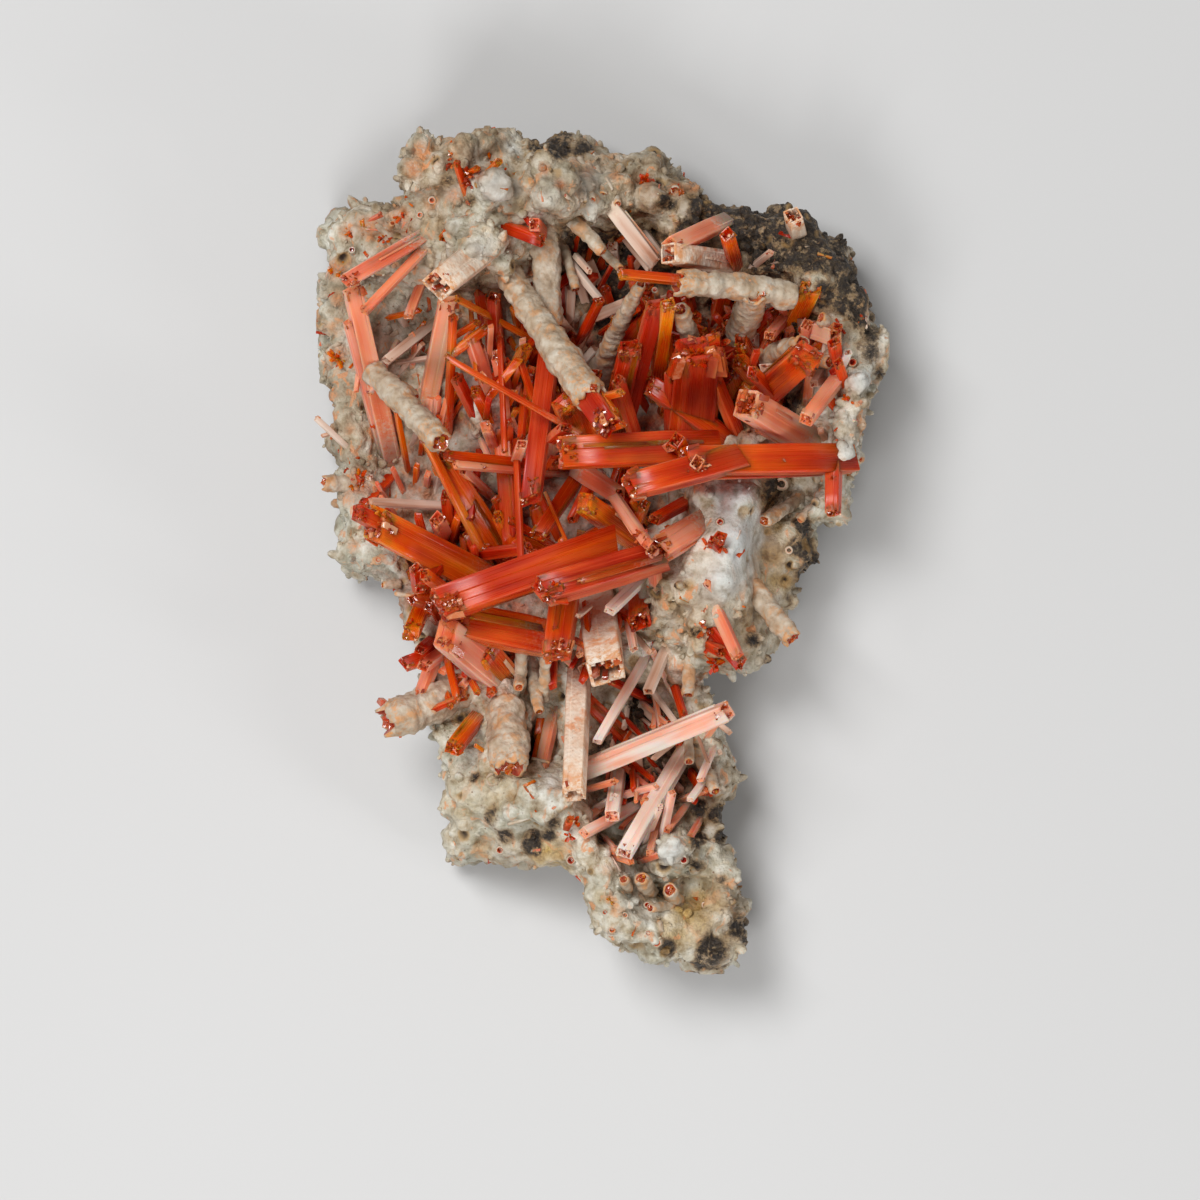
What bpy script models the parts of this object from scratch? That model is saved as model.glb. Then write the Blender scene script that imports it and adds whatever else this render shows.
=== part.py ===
"""Crocoite on its matrix: red-orange prisms in a hollow of crusted rock.

The specimen lies on its back. X runs to the right of the front view, Y up the front view, Z out of the front,
and Z = 0 is the flat broken patch on the back that it rests on.
"""

import math

import bmesh
import bpy
import numpy as np
from mathutils import Matrix, Vector
from mathutils.geometry import delaunay_2d_cdt

MM = 0.001
GAP = 0.34                  # clearance between neighbouring pieces, mm
ROCK_GRID = 1.0             # resolution of the rock before it is thinned, mm
ROCK_FACES = 3700           # triangles kept on the rock
RIM_INSET = 0.9             # the front edge lies this far inside the outline, mm
BACK_INSET = 6.0            # and the back edge this far, mm
BACK_SINK = 1.1             # the middle of the back reaches this far below the resting plane before it is cut flat

# ---------------------------------------------------------------- dimensions
UNITS_PER_MM = 7.0          # the front view is laid out in sevenths of a millimetre
VIEW_CENTRE = (600.0, 600.0)  # centre of the front view, U to the right and V down
PIECE_CENTRE = (601.1, 552.2)  # the middle of the specimen's outer box, in the same view
EYE_MM = 900.0              # height of the eye over the resting face
PLANE_MM = 22.0             # height at which a unit is exactly 1/7 mm
EYE = (
    (VIEW_CENTRE[0] - PIECE_CENTRE[0]) / UNITS_PER_MM,
    (PIECE_CENTRE[1] - VIEW_CENTRE[1]) / UNITS_PER_MM,
    EYE_MM,
)


def at(u, v, z):
    """Millimetres, in the part's frame, of a front-view point (u, v) that lies z mm above the resting face."""
    k = (EYE_MM - z) / (EYE_MM - PLANE_MM) / UNITS_PER_MM
    return np.array([EYE[0] + (u - VIEW_CENTRE[0]) * k, EYE[1] + (VIEW_CENTRE[1] - v) * k, z], float)


# ---------------------------------------------------------------- outline of the rock, clockwise
OUTLINE = [
    (409, 152), (411, 146), (416, 142), (425, 142), (432, 146), (438, 151), (443, 149), (448, 144), (456, 145), (463, 143),
    (470, 138), (478, 137), (485, 134), (495, 133), (505, 132), (513, 134), (520, 140), (526, 144), (533, 144), (540, 148),
    (546, 152), (550, 146), (556, 141), (564, 139), (573, 142), (580, 141), (587, 145), (588, 153), (597, 156), (607, 155),
    (615, 159), (625, 162), (635, 161), (645, 159), (653, 157), (659, 160), (664, 168), (668, 176), (676, 178), (682, 183),
    (692, 185), (698, 190), (702, 199), (707, 206), (713, 208), (719, 212), (728, 214), (735, 213), (743, 217), (750, 215),
    (757, 218), (764, 219), (770, 217), (777, 219), (781, 214), (786, 211), (794, 211), (802, 212), (808, 218), (813, 226),
    (816, 233), (821, 239), (824, 245), (830, 247), (834, 252), (838, 257), (843, 259), (843, 268), (845, 275), (845, 288),
    (849, 294), (855, 296), (861, 298), (863, 304), (866, 310), (866, 318), (867, 325), (870, 331), (876, 336), (880, 342),
    (884, 345), (885, 353), (884, 360), (880, 363), (875, 369), (873, 377), (868, 381), (863, 386), (861, 395), (863, 402),
    (861, 410), (857, 420), (854, 428), (852, 437), (856, 443), (853, 452), (852, 460), (853, 466), (849, 474), (845, 480),
    (845, 490), (843, 498), (845, 504), (843, 511), (838, 515), (830, 514), (822, 512), (814, 516), (807, 515), (808, 520),
    (811, 527), (808, 534), (805, 541), (809, 549), (812, 556), (808, 563), (801, 567), (794, 567), (790, 573), (788, 580),
    (786, 586), (790, 592), (792, 598), (787, 601), (780, 602), (775, 610), (772, 620), (774, 630), (775, 640), (770, 648),
    (762, 647), (756, 645), (750, 647), (745, 653), (740, 660), (733, 664), (725, 664), (715, 662), (705, 662), (698, 660),
    (697, 668), (697, 678), (696, 686), (700, 692), (705, 699), (709, 706), (712, 713), (716, 721), (718, 730), (719, 742),
    (718, 752), (721, 760), (724, 768), (727, 776), (728, 784), (724, 792), (720, 798), (716, 803), (717, 812), (717, 822),
    (716, 830), (717, 838), (719, 846), (724, 853), (727, 862), (727, 870), (730, 877), (729, 886), (728, 895), (728, 903),
    (733, 910), (739, 917), (742, 925), (741, 935), (740, 943), (735, 948), (732, 956), (726, 961), (718, 966), (709, 970),
    (704, 968), (701, 962), (696, 958), (688, 960), (681, 958), (676, 954), (670, 958), (664, 959), (658, 957), (654, 960),
    (648, 962), (643, 958), (638, 951), (631, 949), (625, 945), (617, 942), (611, 938), (605, 933), (600, 928), (598, 920),
    (598, 912), (594, 905), (593, 896), (595, 888), (592, 880), (586, 874), (578, 870), (570, 867), (560, 866), (550, 864),
    (542, 862), (536, 858), (525, 856), (518, 855), (510, 857), (503, 862), (495, 861), (485, 859), (475, 858), (465, 859),
    (457, 858), (454, 852), (457, 844), (460, 836), (459, 827), (454, 822), (450, 816), (448, 811), (451, 805), (457, 801),
    (454, 795), (452, 788), (451, 780), (453, 772), (459, 766), (455, 759), (449, 752), (443, 744), (438, 735), (432, 725),
    (430, 715), (429, 705), (427, 695), (427, 686), (432, 680), (438, 675), (439, 669), (430, 666), (421, 662), (418, 655),
    (420, 648), (422, 640), (417, 630), (411, 620), (406, 609), (403, 602), (407, 594), (405, 588), (400, 583), (396, 578),
    (388, 576), (380, 573), (372, 571), (362, 569), (352, 568), (348, 562), (347, 550), (346, 540), (346, 532), (350, 527),
    (352, 520), (349, 512), (345, 504), (344, 498), (347, 492), (351, 487), (350, 480), (346, 474), (346, 465), (346, 457),
    (344, 450), (338, 443), (336, 436), (338, 428), (334, 422), (335, 412), (339, 405), (338, 396), (338, 388), (337, 380),
    (332, 375), (330, 366), (326, 360), (325, 353), (330, 346), (328, 338), (324, 330), (322, 322), (327, 315), (329, 307),
    (326, 300), (323, 292), (320, 284), (325, 278), (331, 272), (332, 262), (335, 256), (343, 253), (344, 246), (341, 240),
    (333, 239), (331, 230), (333, 222), (338, 219), (346, 217), (350, 211), (358, 208), (366, 208), (375, 210), (385, 211),
    (392, 208), (400, 203), (408, 200), (412, 194), (412, 186), (409, 178), (408, 168), (411, 161),
]

# ---------------------------------------------------------------- relief of the front: (u, v, height in mm)
RELIEF = [
    # left wall, a low shelf of crust
    (340, 230, 16), (380, 232, 18), (405, 225, 20), (335, 290, 14), (370, 300, 12), (395, 310, 11), (328, 330, 13),
    (340, 380, 12), (350, 440, 13), (350, 490, 14), (360, 545, 15), (392, 568, 16), (408, 600, 17), (330, 350, 13),
    # top left lobes and the white brow
    (420, 150, 24), (432, 178, 26), (460, 168, 27), (425, 205, 22), (450, 215, 25), (490, 185, 30), (490, 150, 24),
    (512, 145, 21), (545, 178, 31), (560, 205, 31), (582, 182, 26), (562, 150, 18), (600, 165, 19), (640, 168, 20),
    (640, 192, 22), (610, 200, 25), (672, 182, 20), (695, 202, 20), (480, 235, 25), (505, 245, 23), (520, 205, 27),
    (540, 230, 20),
    # the hollow
    (585, 240, 13), (600, 262, 9), (635, 245, 11), (600, 330, 8), (650, 330, 8), (700, 320, 9), (560, 290, 11),
    (620, 400, 8), (700, 400, 9), (740, 310, 10), (560, 370, 8), (520, 300, 10), (480, 320, 10), (430, 320, 9),
    (770, 400, 10), (660, 290, 11), (780, 340, 12), (720, 360, 8),
    # dark upper right rim
    (682, 222, 21), (720, 232, 20), (742, 228, 19), (770, 228, 19), (800, 222, 19), (822, 252, 20), (842, 282, 19),
    (760, 262, 19), (800, 268, 22), (822, 280, 24), (852, 312, 20), (830, 308, 21), (872, 345, 20), (860, 372, 23),
    (850, 402, 25), (852, 438, 25), (848, 470, 24), (832, 505, 20), (815, 330, 17), (835, 350, 22), (830, 400, 19),
    (820, 430, 17), (780, 290, 17), (745, 280, 17),
    # lower right: a smooth white dome, an ochre flank
    (800, 490, 14), (782, 505, 15), (800, 530, 18), (795, 560, 17), (782, 590, 16), (762, 605, 18), (742, 500, 27),
    (730, 540, 29), (722, 580, 29), (700, 560, 27), (700, 620, 26), (720, 642, 24), (742, 605, 26), (690, 640, 23),
    (760, 635, 17), (715, 495, 24), (672, 580, 25), (668, 610, 22), (660, 540, 15), (770, 545, 17),
    # lower part of the hollow
    (550, 480, 9), (450, 480, 9), (400, 400, 9), (450, 410, 9), (478, 400, 15), (478, 380, 14), (420, 350, 9),
    (500, 520, 8), (560, 520, 9), (600, 520, 9), (650, 500, 10), (460, 560, 10), (610, 600, 11), (560, 560, 9),
    (520, 620, 12), (470, 630, 15), (430, 620, 17), (400, 500, 10), (420, 560, 12), (640, 460, 9), (740, 460, 15),
    (780, 440, 12), (385, 450, 10),
    # the leg: crust on the left, a needle-filled hollow on the right, a yellow foot
    (440, 658, 17), (470, 688, 18), (500, 695, 19), (505, 740, 19), (455, 710, 16), (470, 775, 19), (500, 782, 21),
    (462, 812, 18), (472, 846, 15), (520, 800, 23), (548, 800, 24), (572, 830, 24), (532, 842, 18), (560, 852, 20),
    (590, 862, 23), (602, 902, 22), (622, 922, 23), (650, 905, 20), (660, 862, 23), (680, 848, 24), (600, 780, 11),
    (630, 780, 8), (660, 760, 8), (690, 770, 9), (640, 720, 8), (600, 700, 10), (675, 700, 10), (702, 690, 14),
    (712, 740, 15), (717, 782, 16), (703, 805, 12), (695, 828, 12), (722, 860, 17), (722, 902, 18), (692, 895, 14),
    (660, 890, 13), (690, 930, 19), (732, 930, 15), (720, 950, 18), (652, 940, 21), (642, 955, 17), (700, 960, 16),
    (612, 882, 22), (640, 875, 16), (555, 700, 11), (535, 745, 10), (610, 830, 10), (640, 840, 11), (680, 650, 17),
    (655, 650, 12), (620, 655, 13), (540, 680, 13), (575, 690, 14),
]

SEED = 7


def hashed(*n):
    """A repeatable number from 0 to 1 for some whole numbers."""
    a = 0.5
    for k in n:
        a = math.sin(a * 91.17 + k * 12.9898 + SEED * 0.731) * 43758.5453
        a -= math.floor(a)
    return a


def relief(u, v):
    """Height of the front, in mm, at front-view points."""
    u, v = np.atleast_1d(np.asarray(u, float)), np.atleast_1d(np.asarray(v, float))
    r = np.array(RELIEF, float)
    d = (u[:, None] - r[:, 0]) ** 2 + (v[:, None] - r[:, 1]) ** 2
    w = 1.0 / (d + 60.0) ** 2
    return (w * r[:, 2]).sum(1) / w.sum(1)


def inside(u, v, poly):
    u, v = np.atleast_1d(u), np.atleast_1d(v)
    p = np.array(poly, float)
    q = np.roll(p, -1, axis=0)
    hit = np.zeros(len(u), bool)
    for (x0, y0), (x1, y1) in zip(p, q):
        if y0 == y1:
            continue
        c = ((y0 > v) != (y1 > v)) & (u < (x1 - x0) * (v - y0) / (y1 - y0) + x0)
        hit ^= c
    return hit


def edge_distance(u, v, poly):
    u, v = np.atleast_1d(np.asarray(u, float)), np.atleast_1d(np.asarray(v, float))
    p = np.array(poly, float)
    q = np.roll(p, -1, axis=0)
    best = np.full(len(u), 1e9)
    for (x0, y0), (x1, y1) in zip(p, q):
        dx, dy = x1 - x0, y1 - y0
        t = np.clip(((u - x0) * dx + (v - y0) * dy) / (dx * dx + dy * dy), 0, 1)
        best = np.minimum(best, np.hypot(u - x0 - t * dx, v - y0 - t * dy))
    return best


# ---------------------------------------------------------------- crystals
# name, habit, root (u, v, z), tip (u, v, z), width in view units, depth over width, roll in degrees, slope of the end
# habits: ruby, flame, rose, tan = bare prisms; husk = a prism under crust with a hollow end; crust = a finger of crust
CRYSTALS = [
    # left of the hollow
    ("left_long_a", "rose", (394, 472, 8.8), (352, 288, 23), 22, 0.8, 12, 0.3),
    ("left_long_b", "rose", (384, 463, 9.0), (347, 322, 21.8), 10, 1.0, 20, 0.2),
    ("left_finger", "crust", (374, 372, 17.5), (441, 442, 29), 25, 0.9, 0, 0.0),
    ("left_short", "ruby", (404, 464, 8), (363, 505, 15), 13, 0.9, 20, 0.2),
    ("top_left_bar", "ruby", (430, 232, 21), (346, 281, 28), 18, 0.9, 10, 0.2),
    ("top_left_rod", "rose", (436, 237, 20), (364, 312, 26), 12, 0.9, 25, 0.1),
    ("hollow_end_left", "husk", (498, 238, 22), (437, 286, 35), 33, 0.9, 5, 0.0),
    ("left_stub", "rose", (428, 266, 14), (408, 317, 19), 12, 0.9, 15, 0.2),
    ("upright_rose", "rose", (423, 428, 8), (448, 299, 20), 21, 0.8, 8, 0.2),
    ("slim_upright", "flame", (447, 454, 8.5), (453, 316, 23), 10, 1.0, 30, 0.3),
    ("short_bar", "ruby", (449, 356, 19), (488, 327, 21), 11, 0.9, 15, 0.2),
    ("cross_needle_upper", "flame", (575, 363, 6.2), (456, 298, 23), 8, 0.9, 20, 0.2),
    ("grey_bar", "tan", (440, 318, 8.3), (386, 361, 17), 12, 0.9, 10, 0.2),
    ("tall_flame", "flame", (489, 266, 11), (513, 558, 15), 22, 0.8, 15, 0.2),
    ("front_ruby", "ruby", (556, 300, 9.5), (531, 500, 28), 23, 0.8, 12, 0.5),
    ("level_bar_a", "rose", (578, 469, 8.2), (446, 455, 25.5), 12, 0.9, 10, 0.2),
    ("level_bar_b", "rose", (578, 474, 8.2), (455, 465, 25), 10, 0.9, 25, 0.2),
    ("low_bar", "tan", (480, 508, 8.4), (371, 502, 19), 10, 0.9, 10, 0.2),
    # lower left
    ("great_left", "ruby", (500, 588, 9.5), (374, 523, 26), 38, 0.8, 8, 0.3),
    ("stepped_end", "ruby", (397, 533, 23), (356, 512, 27), 19, 0.9, 15, 0.2),
    ("long_needle", "flame", (505, 596, 9.5), (423, 436, 24), 11, 0.9, 25, 0.2),
    ("orange_blade", "flame", (520, 580, 8.6), (440, 457, 20), 27, 0.5, 15, 0.3),
    ("end_upright", "ruby", (431, 586, 13), (411, 634, 30), 20, 0.9, 15, 0.2),
    ("diagonal_upper", "ruby", (614, 544, 29), (438, 606, 34), 42, 0.8, 14, 0.2),
    ("diagonal_front", "rose", (662, 556, 30), (541, 592, 37), 36, 0.8, 20, 0.3),
    ("lower_flame", "flame", (558, 641, 22), (446, 618, 28), 42, 0.7, 12, 0.2),
    ("lower_upright", "ruby", (566, 590, 22), (557, 656, 28), 32, 0.8, 10, 0.3),
    ("lower_pink", "rose", (500, 679, 17), (446, 634, 30), 40, 0.7, 18, 0.3),
    ("lower_red", "ruby", (509, 678, 16), (484, 648, 24), 28, 0.8, 12, 0.2),
    # middle
    ("white_finger", "crust", (500, 262, 19.5), (610, 428, 38), 32, 0.95, 0, 0.35),
    ("orange_block", "flame", (594, 466, 8), (566, 401, 29), 32, 0.7, 12, 0.3),
    ("cross_needle_lower", "flame", (580, 434, 25), (446, 357, 27.5), 8, 0.9, 20, 0.2),
    ("pink_needle", "rose", (590, 462, 8), (647, 543, 38), 14, 0.9, 18, 0.2),
    ("crossbar_back", "ruby", (714, 446, 29), (559, 453, 32), 38, 0.8, 10, 0.1),
    ("crossbar_pink", "rose", (744, 456, 32), (629, 487, 38), 34, 0.85, 18, 0.1),
    ("crossbar_long", "ruby", (848, 459, 23.5), (684, 462, 35), 36, 0.8, 12, 0.1),
    ("crossbar_end", "ruby", (834, 452, 24.5), (833, 514, 28), 18, 0.9, 15, 0.2),
    ("pink_block", "rose", (818, 447, 16.5), (745, 403, 33), 36, 0.8, 20, 0.0),
    ("dark_diagonal", "ruby", (730, 441, 13), (650, 385, 19), 24, 0.8, 15, 0.2),
    ("fan_a", "ruby", (620, 440, 9), (656, 304, 29), 22, 0.8, 20, 0.3),
    ("fan_b", "ruby", (610, 436, 9), (631, 346, 25), 26, 0.8, 12, 0.2),
    ("fan_white", "crust", (597, 378, 8.5), (641, 284, 30), 17, 0.95, 0, -0.9),
    ("fan_c", "flame", (654, 400, 9), (668, 303, 31), 17, 0.8, 20, 0.3),
    ("fan_block", "ruby", (688, 450, 8), (698, 346, 26), 52, 0.6, 10, 0.2),
    ("back_red", "ruby", (588, 462, 9), (538, 536, 19), 18, 0.8, 15, 0.2),
    # right
    ("pointer_tip", "flame", (690, 281, 29.5), (620, 274, 35), 12, 0.9, 22, 0.2),
    ("pointer_root", "crust", (793, 296, 25), (678, 283, 31), 27, 0.9, 0, 0.0),
    ("short_white", "crust", (738, 343, 9.2), (756, 291, 29), 27, 0.9, 0, 0.0),
    ("orange_upright", "flame", (787, 338, 12), (812, 287, 24), 24, 0.8, 18, 0.3),
    ("right_pink", "rose", (846, 368, 21.5), (806, 420, 31), 18, 0.9, 18, 0.1),
    ("right_ruby", "ruby", (754, 402, 9), (807, 355, 30), 36, 0.8, 15, 0.1),
    ("upper_pink", "rose", (724, 222, 19), (671, 246, 31), 22, 0.9, 18, 0.2),
    ("upper_husk", "husk", (738, 264, 16.5), (668, 253, 32), 25, 0.85, 12, 0.0),
    ("corner_square", "husk", (800, 247, 14), (793, 215, 25), 20, 1.0, 12, 0.0),
    ("arching_rod", "tan", (608, 202, 24), (656, 264, 23), 18, 0.9, 10, 0.2),
    ("pale_column", "crust", (545, 220, 20), (548, 324, 21), 29, 0.9, 0, 0.0),
    ("drip_finger", "crust", (563, 212, 24), (603, 252, 27), 13, 0.9, 0, 0.0),
    ("brown_finger", "crust", (750, 585, 20), (793, 639, 24), 21, 0.95, 0, 0.0),
    ("pink_lath", "rose", (711, 598, 25), (738, 657, 29), 15, 0.8, 18, 0.2),
    # under the middle
    ("hollow_husk", "husk", (596, 590, 10), (606, 671, 32), 42, 0.8, 8, 0.0),
    ("pale_strut", "rose", (648, 573, 21), (609, 611, 27), 14, 0.9, 15, 0.2),
    ("bright_orange", "flame", (648, 549, 12), (584, 503, 30), 27, 0.8, 22, 0.2),
    ("pink_root", "rose", (704, 523, 23), (657, 552, 30), 31, 0.85, 18, 0.0),
    # the leg
    ("short_column", "crust", (506, 704, 18), (508, 768, 24), 38, 0.8, 0, 0.0),
    ("pale_post", "husk", (580, 655, 12.5), (574, 796, 27), 26, 0.9, 12, 0.0),
    ("left_arm", "crust", (468, 688, 16), (387, 721, 20), 38, 0.7, 0, 0.0),
    ("orange_stub", "flame", (478, 717, 17), (453, 749, 25), 20, 0.9, 20, 0.2),
    ("long_pink", "rose", (562, 779, 14), (728, 711, 31), 23, 0.85, 12, 0.1),
    ("strut_white", "rose", (692, 738, 11), (624, 854, 25), 20, 0.9, 15, 0.1),
    ("leg_needle", "rose", (661, 631, 11), (597, 742, 20), 12, 0.9, 15, 0.2),
    ("leg_ruby", "ruby", (632, 744, 8), (580, 694, 13), 18, 0.9, 12, 0.2),
    ("leg_post", "rose", (620, 764, 8.6), (612, 816, 23), 17, 0.9, 12, 0.1),
    ("leg_bar", "rose", (648, 800, 9.5), (584, 833, 25), 13, 0.9, 12, 0.1),
]

# crystals that grew into each other and are one piece
GROWN_TOGETHER = {
    "left_long_cluster": ["left_long_a", "left_long_b", "left_finger", "left_short"],
    "top_left_pair": ["top_left_bar", "top_left_rod"],
    "slim_pair": ["slim_upright", "short_bar"],
    "left_spray": ["great_left", "stepped_end", "long_needle", "orange_blade"],
    "diagonal_cluster": ["diagonal_upper", "diagonal_front", "pink_root"],
    "lower_cluster": ["lower_flame", "lower_upright", "lower_pink", "lower_red"],
    "middle_cluster": ["orange_block", "cross_needle_lower", "pink_needle", "back_red", "level_bar_a", "level_bar_b"],
    "crossbar_cluster": ["crossbar_back", "crossbar_pink", "crossbar_long", "crossbar_end"],
    "upper_pair": ["upper_pink", "upper_husk"],
    "red_fan": ["fan_a", "fan_b", "fan_c"],
    "red_block_pair": ["fan_block", "dark_diagonal"],
    "pointer": ["pointer_root", "pointer_tip", "short_white"],
}


# ---------------------------------------------------------------- materials: colour, roughness
SURFACES = {
    "rock": ((0.56, 0.52, 0.42), 0.85),
    "ruby": ((0.62, 0.055, 0.012), 0.25),
    "flame": ((0.80, 0.16, 0.02), 0.22),
    "rose": ((0.72, 0.26, 0.20), 0.35),
    "tan": ((0.42, 0.24, 0.16), 0.50),
    "husk": ((0.66, 0.42, 0.34), 0.60),
    "crust": ((0.74, 0.66, 0.52), 0.80),
}


def material(slot):
    found = bpy.data.materials.get(slot)
    if found:
        return found
    colour, roughness = SURFACES[slot]
    made = bpy.data.materials.new(slot)
    made.use_nodes = True
    shader = made.node_tree.nodes["Principled BSDF"]
    shader.inputs["Base Color"].default_value = (*colour, 1.0)
    shader.inputs["Roughness"].default_value = roughness
    shader.inputs["Metallic"].default_value = 0.0
    made.diffuse_color = (*colour, 1.0)
    return made


def add_object(name, points, faces, slot):
    """A mesh object from points in millimetres."""
    mesh = bpy.data.meshes.new(name)
    mesh.from_pydata([tuple(float(c) * MM for c in p) for p in points], [], faces)
    mesh.validate()
    shape = bmesh.new()
    shape.from_mesh(mesh)
    bmesh.ops.recalc_face_normals(shape, faces=shape.faces)
    if shape.calc_volume(signed=True) < 0:
        bmesh.ops.reverse_faces(shape, faces=shape.faces)
    shape.to_mesh(mesh)
    shape.free()
    mesh.materials.append(material(slot))
    made = bpy.data.objects.new(name, mesh)
    bpy.context.scene.collection.objects.link(made)
    return made


def apply_modifiers(shape):
    """Replaces the object's mesh with its evaluated one and drops its modifiers."""
    bpy.context.view_layer.update()
    graph = bpy.context.evaluated_depsgraph_get()
    made = bpy.data.meshes.new_from_object(shape.evaluated_get(graph))
    shape.modifiers.clear()
    old, shape.data = shape.data, made
    bpy.data.meshes.remove(old)


def boolean(shape, other, operation):
    cut = shape.modifiers.new(operation.lower(), "BOOLEAN")
    cut.operation = operation
    cut.solver = "EXACT"
    cut.object = other
    apply_modifiers(shape)


def keep_largest(shape):
    """Drops the chips that a cut may leave."""
    mesh = bmesh.new()
    mesh.from_mesh(shape.data)
    seen, groups = set(), []
    for start in mesh.verts:
        if start in seen:
            continue
        group, front = [], [start]
        seen.add(start)
        while front:
            v = front.pop()
            group.append(v)
            for e in v.link_edges:
                o = e.other_vert(v)
                if o not in seen:
                    seen.add(o)
                    front.append(o)
        groups.append(group)
    groups.sort(key=len, reverse=True)
    for group in groups[1:]:
        bmesh.ops.delete(mesh, geom=group, context="VERTS")
    mesh.to_mesh(shape.data)
    mesh.free()
    return len(groups) - 1


# ---------------------------------------------------------------- the rock
def offset_ring(points, inset):
    """The outline moved inwards, in mm, along its smoothed normals."""
    p = np.array(points, float)
    ahead, behind = np.roll(p, -3, axis=0), np.roll(p, 3, axis=0)
    t = ahead - behind
    n = np.stack([t[:, 1], -t[:, 0]], 1)
    n /= np.maximum(np.linalg.norm(n, axis=1), 1e-6)[:, None]
    area = 0.5 * np.sum(p[:, 0] * np.roll(p[:, 1], -1) - np.roll(p[:, 0], -1) * p[:, 1])
    return p + (-n if area > 0 else n) * inset


def cap(ring, height, step, flip):
    """Triangles across a ring, with inner points on a grid whose height follows a rule."""
    lo, hi = ring.min(0), ring.max(0)
    grid = []
    rows = np.arange(lo[1], hi[1], step)
    for j, y in enumerate(rows):
        for x in np.arange(lo[0] + (j % 2) * step / 2, hi[0], step):
            grid.append((x, y))
    grid = np.array(grid)
    keep = inside(grid[:, 0], grid[:, 1], ring) & (edge_distance(grid[:, 0], grid[:, 1], ring) > step * 0.45)
    pts = np.vstack([ring, grid[keep]])
    n = len(ring)
    out = delaunay_2d_cdt([Vector(p) for p in pts], [(i, (i + 1) % n) for i in range(n)], [], 1, 1e-4)
    flat = np.array([tuple(p) for p in out[0]])
    return flat, [tuple(f) for f in out[2]]


def front_height(x, y):
    """Relief, in mm, under a point of the part's frame."""
    z = np.full(len(x), 15.0)
    for _ in range(3):
        k = (EYE_MM - z) / (EYE_MM - PLANE_MM) / UNITS_PER_MM
        u = VIEW_CENTRE[0] + (x - EYE[0]) / k
        v = VIEW_CENTRE[1] - (y - EYE[1]) / k
        z = relief(u, v)
    return z


def back_height(x, y, ring):
    """The back is a shallow bowl turned over: lowest in the middle, rising to the edge."""
    d = edge_distance(x, y, ring)
    return -BACK_SINK + 5.5 * np.exp(-((d / 3.5) ** 2))


def rock_body():
    """One closed skin: a crusted front, a rim that bulges at mid height, and a broken back."""
    rim_z = np.array([0.62 * relief(u, v)[0] for u, v in OUTLINE])
    outline = np.array([at(u, v, z)[:2] for (u, v), z in zip(OUTLINE, rim_z)])
    front = offset_ring(outline, RIM_INSET)
    low = offset_ring(outline, 1.8)
    back = offset_ring(outline, BACK_INSET)
    n = len(outline)
    points, faces = [], []

    front_z = front_height(front[:, 0], front[:, 1])
    jog = np.array([hashed(i, 3) for i in range(n)])
    rings = [
        (front, front_z),
        (outline, rim_z + 1.5 * (jog - 0.5)),
        (low, 0.34 * front_z + 1.5 * (jog - 0.5)),
        (back, np.full(n, 3.4)),
    ]
    # sides
    for ring, z in rings:
        points += [(p[0], p[1], h) for p, h in zip(ring, z)]
    for r in range(len(rings) - 1):
        a, b = r * n, (r + 1) * n
        for i in range(n):
            j = (i + 1) % n
            faces.append((a + i, a + j, b + j, b + i))
    # caps share the first and the last ring
    for ring, base, rule, step in (
        (front, 0, lambda x, y: front_height(x, y), 2.0),
        (back, (len(rings) - 1) * n, lambda x, y: back_height(x, y, back), 4.0),
    ):
        lo, hi = ring.min(0), ring.max(0)
        grid = np.array([
            (x, y)
            for j, y in enumerate(np.arange(lo[1], hi[1], step))
            for x in np.arange(lo[0] + (j % 2) * step / 2, hi[0], step)
        ])
        keep = inside(grid[:, 0], grid[:, 1], ring) & (edge_distance(grid[:, 0], grid[:, 1], ring) > step * 0.45)
        inner = grid[keep]
        flat = [Vector(p) for p in ring] + [Vector(p) for p in inner]
        out = delaunay_2d_cdt(flat, [], [list(range(n))], 1, 1e-5)
        place, origin = out[0], out[3]
        heights = rule(np.array([p[0] for p in place]), np.array([p[1] for p in place]))
        index = []
        for i, p in enumerate(place):
            first = [o for o in origin[i] if o < n]
            if first:
                index.append(base + first[0])
            else:
                index.append(len(points))
                points.append((p[0], p[1], float(heights[i])))
        faces += [tuple(index[i] for i in f) for f in out[2]]
    return points, faces


def knobs(count):
    """Small lumps of crust along the rim and over the crusted front."""
    found = []
    for i in range(count):
        u, v = OUTLINE[(i * 7) % len(OUTLINE)]
        z = relief(u, v)[0] * (0.45 + 0.5 * hashed(i, 11))
        found.append((at(u, v, z) * np.array([0.985, 0.985, 1.0]), 1.2 + 1.4 * hashed(i, 12)))
    return found


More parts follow.
